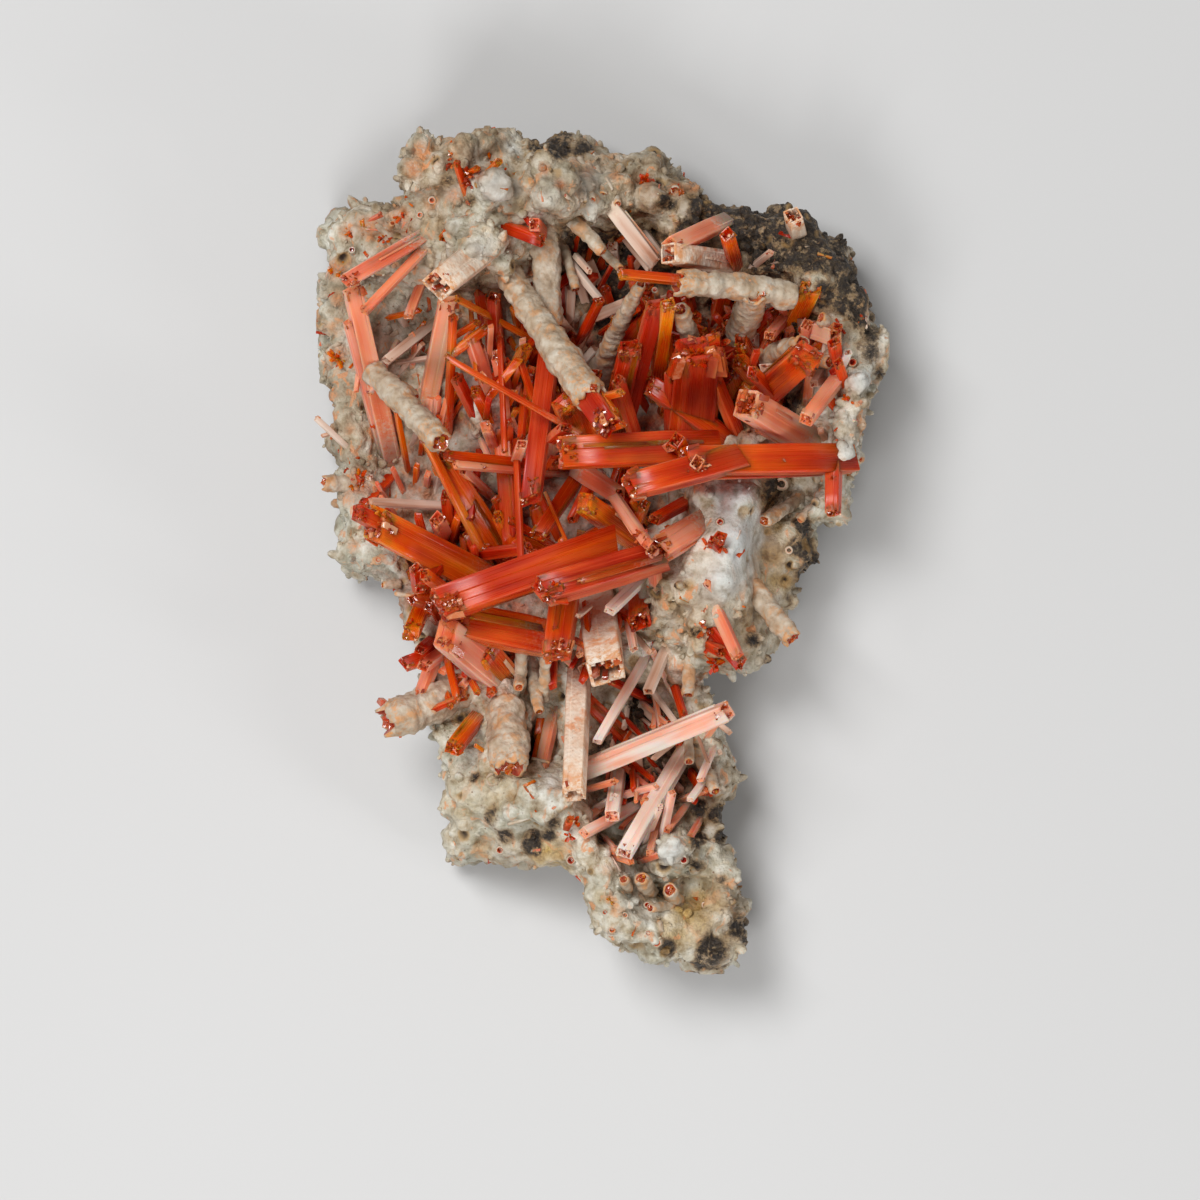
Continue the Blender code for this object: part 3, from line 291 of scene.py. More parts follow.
# crystals that grew into each other and are one piece
GROWN_TOGETHER = {
    "left_long_cluster": ["left_long_a", "left_long_b", "left_finger", "left_short"],
    "top_left_pair": ["top_left_bar", "top_left_rod"],
    "slim_pair": ["slim_upright", "short_bar"],
    "left_spray": ["great_left", "stepped_end", "long_needle", "orange_blade"],
    "diagonal_cluster": ["diagonal_upper", "diagonal_front", "pink_root"],
    "lower_cluster": ["lower_flame", "lower_upright", "lower_pink", "lower_red"],
    "middle_cluster": ["orange_block", "cross_needle_lower", "pink_needle", "back_red", "level_bar_a", "level_bar_b"],
    "crossbar_cluster": ["crossbar_back", "crossbar_pink", "crossbar_long", "crossbar_end"],
    "upper_pair": ["upper_pink", "upper_husk"],
    "red_fan": ["fan_a", "fan_b", "fan_c"],
    "red_block_pair": ["fan_block", "dark_diagonal"],
    "pointer": ["pointer_root", "pointer_tip", "short_white"],
}


# ---------------------------------------------------------------- smaller growth, in front-view units: habit, root, tip, width
# z is left out where the piece sits on the rock's own surface
SMALL = [
    ("flame", (460, 218), (444, 240), 15), ("flame", (433, 265, 19), (443, 246, 22), 7), ("flame", (452, 226), (470, 236), 9),
    ("ruby", (376, 372, 10), (352, 292, 19), 13), ("crust", (402, 384, 17), (416, 397, 20), 9),
    ("rose", (493, 498, 9), (463, 470, 20), 12), ("rose", (446, 540, 11), (437, 519, 22), 19),
    ("tan", (350, 450), (316, 418), 7), ("tan", (336, 432), (322, 436), 5), ("crust", (372, 486), (324, 483), 16),
    ("crust", (400, 583), (382, 585), 9), ("tan", (352, 472), (372, 478), 8), ("ruby", (346, 470), (362, 482), 9),
    ("ruby", (500, 224), (543, 241), 15), ("ruby", (512, 198, 24), (530, 224, 26), 6), ("rose", (545, 236, 20), (534, 224, 27), 17),
    ("tan", (575, 255, 18), (590, 272, 21), 8), ("tan", (620, 232), (650, 270, 18), 9), ("tan", (640, 225), (664, 258, 20), 8),
    ("flame", (655, 322, 12), (646, 298, 26), 8), ("crust", (662, 310, 14), (655, 290, 27), 6),
    ("flame", (672, 372, 14), (663, 325, 26), 14), ("crust", (694, 352, 17), (680, 309, 27), 17),
    ("flame", (736, 266, 19), (727, 234, 30), 17), ("tan", (746, 272, 17), (771, 252, 24), 8),
    ("rose", (790, 312, 14), (769, 336, 22), 14), ("rose", (803, 326, 18), (836, 338, 25), 21),
    ("crust", (765, 356, 14), (802, 344, 24), 19), ("ruby", (838, 374, 20), (834, 342, 27), 15),
    ("ruby", (846, 388, 22), (838, 362, 28), 12), ("tan", (828, 360, 18), (814, 384, 24), 11),
    ("flame", (700, 352, 16), (728, 341, 24), 7), ("ruby", (526, 375, 10), (521, 440, 21), 9),
    ("rose", (512, 470, 12), (522, 444, 24), 13), ("flame", (545, 492, 16), (568, 545, 23), 4.5),
    ("rose", (575, 468, 12), (620, 496, 22), 21), ("rose", (657, 592, 22), (652, 550, 33), 15),
    ("ruby", (694, 498, 18), (654, 520, 27), 16), ("crust", (802, 497), (764, 521, 21), 14),
    ("tan", (782, 492), (781, 476), 9), ("crust", (815, 505), (800, 520), 9),
    ("ruby", (772, 450, 15), (800, 434, 22), 10), ("ruby", (690, 470, 22), (676, 440, 35), 20), ("rose", (700, 476, 30), (697, 462, 37), 18),
    ("ruby", (420, 596, 15), (416, 568, 27), 15), ("flame", (433, 572, 20), (438, 594, 27), 10),
    ("ruby", (432, 640, 17), (420, 650, 25), 13), ("flame", (446, 652, 18), (457, 699, 24), 9),
    ("flame", (470, 678, 19), (478, 693, 23), 8), ("crust", (522, 655, 14), (519, 688, 20), 10),
    ("crust", (531, 655, 13), (539, 712, 19), 12), ("ruby", (640, 590, 14), (640, 622, 24), 27),
    ("ruby", (620, 606, 16), (612, 640, 24), 14), ("flame", (585, 602, 20), (590, 642, 26), 8),
    ("flame", (575, 640, 23), (607, 656, 28), 8), ("tan", (590, 606, 26), (578, 616, 30), 7),
    ("ruby", (702, 618, 24), (742, 665, 27), 18), ("ruby", (700, 640, 23), (722, 652, 27), 14), ("rose", (714, 616), (703, 608), 11),
    ("crust", (691, 650, 16), (688, 695, 19), 12), ("tan", (670, 640, 14), (648, 692, 20), 13),
    ("ruby", (668, 666, 9), (684, 716, 18), 10), ("tan", (637, 670, 9), (676, 723, 17), 7),
    ("rose", (640, 700, 9), (666, 723, 16), 6), ("crust", (687, 732, 14), (689, 762, 19), 9),
    ("crust", (697, 750, 12), (716, 792, 18), 12), ("ruby", (690, 772, 10), (706, 792, 15), 12),
    ("flame", (415, 718, 19), (456, 699, 22), 8), ("flame", (446, 690, 19), (451, 707, 22), 8),
    ("flame", (380, 700, 17), (392, 712, 21), 10), ("flame", (500, 762, 17), (475, 745, 21), 5), ("flame", (500, 762, 18), (526, 769, 21), 5),
    ("rose", (557, 697, 10), (535, 797, 19), 16), ("flame", (549, 700, 10), (530, 780, 17.5), 8),
    ("rose", (582, 791, 16), (616, 781, 22), 8), ("rose", (638, 773, 12), (636, 802, 19), 5),
    ("rose", (656, 780, 12), (644, 803, 20), 10), ("rose", (604, 806, 14), (582, 823, 20), 10),
    ("rose", (600, 834, 14), (617, 852, 22), 9), ("crust", (634, 822, 14), (621, 853, 23), 12),
    ("rose", (658, 818, 14), (650, 853, 22), 10), ("rose", (600, 851, 16), (631, 861, 24), 10),
    ("rose", (640, 861, 18), (661, 854, 24), 8), ("rose", (689, 802, 11), (667, 831, 20), 8),
    ("rose", (680, 800, 12), (706, 790, 17), 8), ("rose", (701, 818, 12), (690, 837, 19), 8),
    ("crust", (680, 905, 16), (650, 908, 22), 9), ("crust", (628, 888, 20), (624, 880, 24), 12),
    ("crust", (650, 893, 17), (641, 878, 23), 15), ("crust", (678, 902, 15), (670, 890, 21), 14),
    ("ruby", (572, 868, 17), (598, 893, 14), 9), ("ruby", (566, 828, 24), (571, 818, 26), 9),
    ("rose", (703, 742, 13), (722, 716, 20), 8), ("rose", (720, 600), (706, 582), 8), ("ruby", (712, 548, 26), (721, 536, 31), 14),
    ("ruby", (722, 552, 27), (712, 540, 30), 11), ("rose", (655, 450, 26), (672, 446, 34), 12),
    ("ruby", (552, 440, 26), (566, 428, 31), 16), ("flame", (600, 398, 34), (622, 392, 39), 9), ("flame", (606, 430, 34), (624, 424, 39), 8),
    ("ruby", (583, 404, 33), (594, 386, 37), 8),
    ("tan", (676, 196), (668, 208), 9), ("ruby", (672, 184), (682, 194), 9), ("ruby", (640, 176), (652, 184), 9),
    ("flame", (470, 205), (456, 162, 29), 9), ("flame", (476, 186), (500, 160, 31), 9), ("flame", (462, 176), (478, 168, 30), 7),
    ("crust", (592, 160), (604, 196, 25), 9), ("crust", (580, 158), (592, 200, 27), 8), ("crust", (604, 168), (618, 204, 25), 8),
]

SMALL += [
    ("flame", (498, 300, 16), (505, 452, 22), 7), ("ruby", (516, 440, 18), (521, 566, 21), 8), ("flame", (470, 300, 14), (477, 380, 20), 6),
    ("ruby", (486, 410, 9), (470, 520, 17), 9), ("flame", (540, 420, 14), (520, 360, 21), 9), ("ruby", (560, 330, 12), (578, 398, 22), 14),
    ("flame", (428, 352, 12), (478, 322, 22), 8), ("rose", (398, 340, 12), (370, 394, 19), 7), ("rose", (364, 330, 14), (356, 392, 18), 6),
    ("flame", (408, 470, 12), (396, 408, 19), 7), ("rose", (478, 434, 12), (494, 470, 20), 7), ("ruby", (596, 470, 12), (572, 520, 21), 13),
    ("ruby", (470, 556, 12), (530, 548, 20), 14), ("flame", (556, 548, 12), (510, 520, 20), 10), ("ruby", (446, 560, 16), (420, 590, 27), 13),
    ("ruby", (455, 598, 22), (424, 574, 31), 15), ("amber", (440, 606, 24), (412, 600, 31), 14), ("amber", (438, 622, 22), (428, 606, 34), 12),
    ("ruby", (600, 600, 12), (634, 620, 22), 12), ("rose", (596, 575, 10), (580, 655, 24), 10), ("frost", (620, 570, 14), (634, 650, 22), 11),
    ("ruby", (580, 340, 12), (600, 300, 22), 12), ("ruby", (640, 452, 12), (618, 380, 24), 16), ("ruby", (672, 440, 12), (672, 372, 22), 18),
    ("ruby", (740, 440, 12), (712, 372, 22), 18), ("flame", (760, 330, 12), (738, 300, 24), 10), ("ruby", (780, 400, 14), (752, 372, 24), 16),
    ("frost", (600, 762, 12), (640, 742, 20), 9), ("frost", (606, 800, 12), (656, 786, 19), 9), ("frost", (660, 850, 16), (672, 792, 22), 10),
    ("frost", (642, 850, 14), (660, 806, 22), 9), ("frost", (590, 812, 14), (616, 796, 20), 8), ("ruby", (690, 760, 10), (668, 724, 16), 11),
    ("frost", (628, 700, 9), (650, 640, 15), 8), ("frost", (676, 700, 10), (652, 650, 16), 8), ("ruby", (650, 700, 9), (610, 680, 16), 10),
    ("frost", (712, 770, 14), (690, 800, 20), 9), ("frost", (716, 742, 14), (700, 780, 19), 9), ("crust", (520, 690, 16), (522, 640, 21), 12),
    ("crust", (544, 700, 16), (546, 648, 21), 11), ("rose", (350, 232, 15), (382, 214, 18), 7), ("rose", (366, 240, 15), (404, 222, 20), 7),
    ("tan", (560, 250, 16), (600, 300, 20), 10), ("crust", (590, 236, 18), (620, 268, 22), 9), ("crust", (560, 240, 16), (576, 290, 20), 10),
    ("ruby", (812, 352, 18), (838, 326, 25), 13), ("crust", (852, 340, 20), (820, 318, 24), 13), ("crust", (790, 352, 16), (830, 362, 24), 12),
    ("frost", (826, 400, 18), (848, 352, 25), 11), ("crust", (866, 400, 18), (846, 440, 22), 9), ("crust", (882, 352, 17), (856, 392, 22), 9),
]

# growth that fills the depth of the hollows: centre, spread, count, habits, length in mm, width in view units, heading in degrees, its spread
FILL = [
    ((694, 366), (96, 56), 72, ("ruby", "ruby", "flame"), (5, 11), (9, 24), -80, 55),
    ((600, 350), (50, 60), 26, ("ruby", "tan", "ruby"), (5, 10), (8, 16), -70, 60),
    ((515, 410), (52, 84), 60, ("ruby", "flame", "rose"), (5, 12), (7, 18), -80, 40),
    ((500, 560), (80, 34), 40, ("ruby", "flame", "ruby"), (5, 10), (8, 18), -120, 60),
    ((500, 640), (64, 32), 26, ("ruby", "rose", "ruby"), (5, 9), (8, 18), 100, 60),
    ((610, 520), (44, 30), 22, ("flame", "rose", "ruby"), (5, 9), (7, 14), -60, 90),
    ((415, 470), (36, 64), 26, ("rose", "flame", "tan"), (4, 9), (5, 11), -90, 50),
    ((410, 345), (44, 40), 16, ("tan", "rose", "flame"), (4, 8), (4, 10), -60, 60),
    ((600, 285), (52, 36), 20, ("tan", "ruby", "ruby"), (4, 8), (6, 13), -70, 50),
    ((655, 742), (46, 62), 54, ("rose", "tan", "ruby"), (4, 10), (4, 10), 90, 60),
    ((612, 640), (36, 24), 14, ("ruby", "rose", "tan"), (4, 8), (6, 14), 90, 60),
    ((545, 735), (16, 34), 8, ("ruby", "rose", "flame"), (4, 8), (6, 12), 90, 30),
    ((810, 400), (34, 50), 20, ("ruby", "rose", "tan"), (3, 7), (8, 18), -140, 60),
    ((760, 345), (50, 36), 18, ("ruby", "tan", "rose"), (4, 8), (8, 18), -90, 60),
]

# ---------------------------------------------------------------- stains, zones and painted shade of the rock: u, v, reach, strength
ZONES = {
    # dark: partly the dark rock of the upper right rim, partly painted shade in the hollows and holes
    "dark": [
        (800, 240, 56, 1), (842, 290, 34, 1), (745, 222, 30, 1), (800, 545, 14, 0.9), (806, 578, 12, 0.9), (790, 600, 10, 0.8), (812, 560, 9, 0.9),
        (476, 776, 8, 0.9), (534, 846, 9, 1), (550, 836, 8, 0.9), (668, 948, 9, 0.9), (752, 640, 8, 0.8), (770, 660, 8, 0.8), (655, 590, 7, 0.7), (640, 625, 8, 0.7),
        (800, 236, 40, 1), (762, 226, 34, 1), (832, 264, 34, 1), (852, 300, 26, 1), (728, 222, 26, 0.9), (600, 275, 30, 0.9),
        (740, 242, 34, 1), (778, 258, 28, 1), (700, 236, 22, 1), (832, 240, 26, 1), (760, 236, 28, 1), (852, 290, 22, 1), (690, 224, 16, 1), (868, 350, 12, 0.7),
        (700, 214, 17, 1), (722, 222, 18, 1), (748, 226, 20, 1), (775, 228, 20, 1), (800, 224, 28, 1), (818, 248, 22, 1),
        (838, 272, 20, 1), (846, 296, 18, 1), (822, 288, 16, 1), (858, 316, 13, 1), (870, 334, 10, 0.8), (535, 148, 11, 1),
        (560, 147, 15, 1), (582, 149, 10, 1), (670, 206, 10, 0.9), (600, 262, 34, 1), (636, 250, 30, 1), (580, 240, 20, 0.9),
        (676, 268, 26, 1), (620, 300, 32, 1), (560, 290, 24, 0.8), (776, 490, 15, 0.9), (800, 524, 9, 1), (735, 930, 14, 1),
        (716, 952, 15, 1), (700, 962, 10, 0.9), (660, 894, 8, 0.9), (602, 838, 9, 0.9), (698, 840, 9, 1), (695, 866, 8, 0.9),
        (700, 808, 8, 1), (532, 745, 15, 1), (695, 632, 6, 1), (470, 200, 7, 0.7), (447, 180, 8, 0.5), (505, 835, 8, 0.9),
        (533, 838, 9, 0.8), (555, 824, 8, 0.8), (491, 818, 9, 0.7), (648, 760, 46, 0.8), (784, 250, 26, 0.9), (755, 258, 22, 0.9),
        (718, 300, 24, 0.9), (795, 403, 16, 0.8), (860, 345, 6, 0.5), (716, 815, 9, 1), (722, 835, 8, 1), (880, 372, 7, 0.8),
        (650, 715, 34, 0.8), (790, 320, 22, 0.7), (735, 318, 18, 0.8), (480, 290, 16, 0.5), (710, 420, 30, 0.8), (612, 660, 14, 0.7),
        (470, 720, 12, 0.6), (500, 772, 8, 0.6), (722, 880, 8, 0.6), (684, 880, 8, 0.5), (806, 590, 8, 0.5), (802, 545, 8, 0.6),
    ],
    "ochre": [
        (690, 905, 26, 1), (770, 556, 12, 0.8), (786, 585, 10, 0.8), (548, 850, 12, 1), (640, 610, 12, 0.7), (655, 640, 12, 0.6),
        (770, 502, 9, 0.9), (775, 526, 9, 0.8), (774, 582, 13, 1), (690, 912, 22, 1), (662, 922, 10, 0.7), (556, 852, 13, 0.9),
        (480, 846, 12, 0.5), (540, 858, 10, 0.8), (760, 214, 10, 0.6), (816, 262, 10, 0.7), (500, 780, 30, 0.35), (470, 800, 24, 0.3),
        (700, 895, 20, 1), (680, 935, 16, 0.8), (345, 300, 14, 0.4), (800, 262, 16, 0.6), (735, 640, 20, 0.35), (700, 640, 18, 0.4), (672, 600, 16, 0.4), (430, 230, 14, 0.4),
        (520, 205, 8, 0.6), (575, 168, 8, 0.4), (715, 900, 14, 0.6), (560, 870, 10, 0.7), (862, 300, 8, 0.5), (810, 545, 9, 0.5),
        (630, 925, 16, 0.3), (745, 620, 14, 0.4), (600, 900, 8, 0.4), (655, 575, 12, 0.4),
    ],
    "rust": [
        (545, 168, 6, 1), (560, 185, 6, 0.9), (424, 150, 9, 0.8), (414, 170, 9, 0.8), (436, 158, 6, 0.7), (645, 180, 6, 1),
        (675, 190, 6, 1), (609, 899, 4, 0.9), (612, 930, 5, 0.8), (390, 700, 7, 0.9), (396, 728, 6, 1), (414, 722, 6, 0.9),
        (434, 694, 6, 0.8), (335, 268, 9, 0.8), (338, 300, 7, 0.6), (345, 232, 8, 0.6), (368, 226, 10, 0.7), (362, 338, 7, 0.6),
        (346, 500, 7, 0.5), (354, 545, 7, 0.5), (336, 358, 12, 0.9), (402, 215, 8, 0.8), (384, 232, 8, 0.7), (410, 232, 9, 0.6),
        (430, 205, 7, 0.5), (455, 195, 8, 0.6), (480, 176, 7, 0.5), (575, 160, 6, 0.5), (588, 172, 6, 0.4), (615, 175, 6, 0.5),
        (345, 260, 7, 0.5), (357, 480, 12, 0.7), (332, 395, 6, 0.4), (350, 430, 6, 0.5), (575, 822, 6, 0.9), (605, 870, 6, 0.4),
        (706, 545, 6, 0.7), (722, 548, 6, 0.7), (640, 935, 5, 0.5), (694, 186, 6, 0.6), (525, 232, 10, 0.7), (506, 240, 8, 0.6),
        (720, 655, 14, 0.7), (740, 658, 8, 0.7), (712, 635, 8, 0.6), (460, 700, 8, 0.5), (475, 712, 6, 0.4), (566, 850, 8, 0.3),
    ],
    "white": [
        (496, 186, 22, 1), (480, 160, 14, 0.8), (512, 150, 10, 0.8), (590, 180, 16, 0.8), (735, 540, 34, 1), (725, 580, 30, 0.8),
        (732, 500, 22, 1), (672, 850, 14, 0.9), (650, 196, 16, 0.5), (872, 352, 12, 0.8), (862, 380, 12, 0.8), (852, 420, 12, 0.8),
        (480, 250, 18, 0.7), (545, 200, 18, 0.5), (452, 190, 10, 0.5), (640, 915, 20, 0.5), (550, 790, 20, 0.4), (800, 290, 12, 0.4),
        (480, 395, 24, 0.7), (850, 450, 12, 0.6), (400, 320, 26, 0.4), (590, 205, 14, 0.7),
    ],
    "moss": [
        (345, 300, 44, 0.6), (345, 400, 44, 0.7), (350, 480, 34, 0.6), (460, 470, 40, 0.4), (560, 170, 24, 0.5), (380, 560, 30, 0.6),
        (640, 165, 18, 0.7), (680, 186, 13, 0.6), (800, 555, 12, 0.8), (352, 560, 18, 0.8), (378, 562, 18, 0.8), (345, 470, 14, 0.6),
        (812, 250, 14, 0.6), (345, 400, 14, 0.4), (330, 330, 14, 0.4), (720, 218, 12, 0.4), (790, 575, 10, 0.5), (345, 520, 14, 0.6),
        (620, 200, 14, 0.4), (470, 850, 14, 0.4), (454, 812, 12, 0.4), (730, 880, 10, 0.5), (500, 860, 12, 0.4),
    ],
    "tan": [
        (460, 150, 60, 0.9), (400, 220, 60, 0.7), (520, 190, 50, 0.6), (580, 175, 50, 0.8), (650, 190, 60, 1), (700, 260, 70, 1),
        (345, 300, 50, 0.5), (345, 420, 60, 0.8), (830, 300, 40, 0.8), (790, 560, 34, 0.8), (760, 620, 40, 0.6), (690, 620, 40, 0.7),
        (400, 320, 60, 0.5), (420, 420, 60, 0.6), (860, 420, 30, 0.5), (560, 240, 40, 0.8), (720, 900, 30, 0.6), (480, 270, 40, 0.7),
        (690, 420, 60, 0.8), (510, 860, 30, 0.4), (700, 800, 50, 0.5),
    ],
    # red: the hollow's floor, partly the red growth that lines it, partly painted shade in near-black patches
    "red": [
        (700, 370, 100, 1), (430, 500, 60, 0.5), (400, 600, 30, 0.5), (600, 390, 70, 0.9), (520, 420, 62, 0.9), (500, 540, 80, 0.9), (500, 630, 60, 0.8), (640, 330, 50, 0.8),
        (610, 520, 50, 0.8), (610, 640, 26, 0.7), (440, 480, 34, 0.5), (770, 350, 44, 0.6), (670, 690, 26, 0.5), (700, 780, 18, 0.5),
    ],
}


# ---------------------------------------------------------------- noise in numpy
def lattice(i, j, k, s):
    """Repeatable numbers from 0 to 1 on a whole-number lattice."""
    n = (i * 73856093) ^ (j * 19349663) ^ (k * 83492791) ^ (s * 2654435761)
    n = (n ^ (n >> 13)) * 1274126177 & 0x7FFFFFFF
    n = (n ^ (n >> 16)) * 2246822519 & 0x7FFFFFFF
    return ((n ^ (n >> 15)) & 0xFFFFFF) / float(0xFFFFFF)


def value_noise(p, scale, seed=0):
    q = np.asarray(p, float) / scale
    base = np.floor(q).astype(np.int64)
    f = q - base
    f = f * f * (3 - 2 * f)
    total = np.zeros(len(q))
    for dx in (0, 1):
        for dy in (0, 1):
            for dz in (0, 1):
                w = (f[:, 0] if dx else 1 - f[:, 0]) * (f[:, 1] if dy else 1 - f[:, 1]) * (f[:, 2] if dz else 1 - f[:, 2])
                total += w * lattice(base[:, 0] + dx, base[:, 1] + dy, base[:, 2] + dz, seed)
    return total * 2 - 1


def fractal(p, scale, octaves=3, seed=0):
    total, gain = np.zeros(len(p)), 1.0
    for o in range(octaves):
        total += gain * value_noise(p, scale / 2 ** o, seed + o * 17)
        gain *= 0.5
    return total


def knobs_field(p, scale, seed=0):
    """Round knobs: 1 on the middle of each, 0 in the creases between them."""
    q = np.asarray(p, float) / scale
    base = np.floor(q).astype(np.int64)
    best = np.full(len(q), 9.0)
    for dx in (-1, 0, 1):
        for dy in (-1, 0, 1):
            for dz in (-1, 0, 1):
                c = base + (dx, dy, dz)
                d = np.zeros(len(q))
                for axis in range(3):
                    d += (c[:, axis] + 0.15 + 0.7 * lattice(c[:, 0], c[:, 1], c[:, 2], seed + 5 * axis + 1) - q[:, axis]) ** 2
                best = np.minimum(best, d)
    return np.clip(1 - best / 0.7, 0, 1)


def pits_field(p, scale, share, seed=0):
    """Scattered round pits: 1 in the middle of each, 0 outside."""
    q = np.asarray(p, float) / scale
    base = np.floor(q).astype(np.int64)
    best = np.zeros(len(q))
    for dx in (-1, 0, 1):
        for dy in (-1, 0, 1):
            for dz in (-1, 0, 1):
                c = base + (dx, dy, dz)
                d = np.zeros(len(q))
                for axis in range(3):
                    d += (c[:, axis] + 0.1 + 0.8 * lattice(c[:, 0], c[:, 1], c[:, 2], seed + 5 * axis + 1) - q[:, axis]) ** 2
                there = lattice(c[:, 0], c[:, 1], c[:, 2], seed + 61) < share
                size = 0.16 + 0.22 * lattice(c[:, 0], c[:, 1], c[:, 2], seed + 71)
                best = np.maximum(best, np.where(there, np.clip(1 - np.sqrt(d) / size, 0, 1), 0))
    return best


def front_view(p):
    """Front-view coordinates of points in millimetres."""
    k = (EYE_MM - p[:, 2]) / (EYE_MM - PLANE_MM) / UNITS_PER_MM
    return VIEW_CENTRE[0] + (p[:, 0] - EYE[0]) / k, VIEW_CENTRE[1] - (p[:, 1] - EYE[1]) / k


def zone(name, u, v, ragged):
    """How strongly a zone covers each point. Its edge is made ragged by a noise."""
    total = np.zeros(len(u))
    for cu, cv, reach, strength in ZONES[name]:
        d = np.hypot(u - cu, v - cv) / reach
        total = np.maximum(total, strength * np.clip(1.35 - d + 0.55 * ragged, 0, 1))
    return total


# ---------------------------------------------------------------- mesh helpers
def new_object(name, mesh):
    made = bpy.data.objects.new(name, mesh)
    bpy.context.scene.collection.objects.link(made)
    return made


def points_of(mesh):
    co = np.empty(len(mesh.vertices) * 3, np.float32)
    mesh.vertices.foreach_get("co", co)
    return co.reshape(-1, 3).astype(float) / MM


def normals_of(mesh):
    n = np.empty(len(mesh.vertices) * 3, np.float32)
    mesh.vertex_normals.foreach_get("vector", n)
    return n.reshape(-1, 3).astype(float)


def set_points(mesh, p):
    mesh.vertices.foreach_set("co", (p * MM).astype(np.float32).ravel())
    mesh.update()


def attribute(mesh, name, values, kind="FLOAT"):
    a = mesh.attributes.get(name) or mesh.attributes.new(name, kind, "POINT")
    a.data.foreach_set("vector" if kind == "FLOAT_VECTOR" else "value", np.asarray(values, np.float32).ravel())


def apply_modifiers(shape):
    bpy.context.view_layer.update()
    graph = bpy.context.evaluated_depsgraph_get()
    made = bpy.data.meshes.new_from_object(shape.evaluated_get(graph))
    shape.modifiers.clear()
    old, shape.data = shape.data, made
    bpy.data.meshes.remove(old)


# ---------------------------------------------------------------- the rock
def offset_ring(points, inset):
    p = np.array(points, float)
    ahead, behind = np.roll(p, -3, axis=0), np.roll(p, 3, axis=0)
    t = ahead - behind
    n = np.stack([t[:, 1], -t[:, 0]], 1)
    n /= np.maximum(np.linalg.norm(n, axis=1), 1e-6)[:, None]
    area = 0.5 * np.sum(p[:, 0] * np.roll(p[:, 1], -1) - np.roll(p[:, 0], -1) * p[:, 1])
    return p + (-n if area > 0 else n) * inset


def front_height(x, y):
    z = np.full(len(x), 15.0)
    for _ in range(3):
        u, v = front_view(np.stack([x, y, z], 1))
        z = relief(u, v)
    return z


def rock_body(step):
    rim_z = np.array([0.62 * relief(u, v)[0] for u, v in OUTLINE])
    outline = np.array([at(u, v, z)[:2] for (u, v), z in zip(OUTLINE, rim_z)])
    front, low, back = offset_ring(outline, RIM_INSET), offset_ring(outline, 1.8), offset_ring(outline, BACK_INSET)
    n = len(outline)
    front_z = front_height(front[:, 0], front[:, 1])
    jog = np.array([hashed(i, 3) for i in range(n)])
    points, faces = [], []
    rings = [
        (front, front_z), (outline, rim_z + 1.5 * (jog - 0.5)), (low, 0.34 * front_z + 1.5 * (jog - 0.5)), (back, np.full(n, 3.4)),
    ]
    for ring, z in rings:
        points += [(p[0], p[1], h) for p, h in zip(ring, z)]
    for r in range(len(rings) - 1):
        a, b = r * n, (r + 1) * n
        faces += [(a + i, a + (i + 1) % n, b + (i + 1) % n, b + i) for i in range(n)]

    def back_height(x, y):
        return -BACK_SINK + 5.5 * np.exp(-((edge_distance(x, y, back) / 3.5) ** 2))

    for ring, base, rule, grid_step in ((front, 0, front_height, step), (back, (len(rings) - 1) * n, back_height, 4.0)):
        lo, hi = ring.min(0), ring.max(0)
        grid = np.array([
            (x, y)
            for j, y in enumerate(np.arange(lo[1], hi[1], grid_step))
            for x in np.arange(lo[0] + (j % 2) * grid_step / 2, hi[0], grid_step)
        ])
        keep = inside(grid[:, 0], grid[:, 1], ring) & (edge_distance(grid[:, 0], grid[:, 1], ring) > grid_step * 0.45)
        inner = grid[keep]
        flat = [Vector(p) for p in ring] + [Vector(p) for p in inner]
        out = delaunay_2d_cdt(flat, [], [list(range(n))], 1, 1e-5)
        place, origin = out[0], out[3]
        heights = rule(np.array([p[0] for p in place]), np.array([p[1] for p in place]))
        index = []
        for i, p in enumerate(place):
            first = [o for o in origin[i] if o < n]
            if first:
                index.append(base + first[0])
            else:
                index.append(len(points))
                points.append((p[0], p[1], float(heights[i])))
        faces += [tuple(index[i] for i in f) for f in out[2]]
    return points, faces


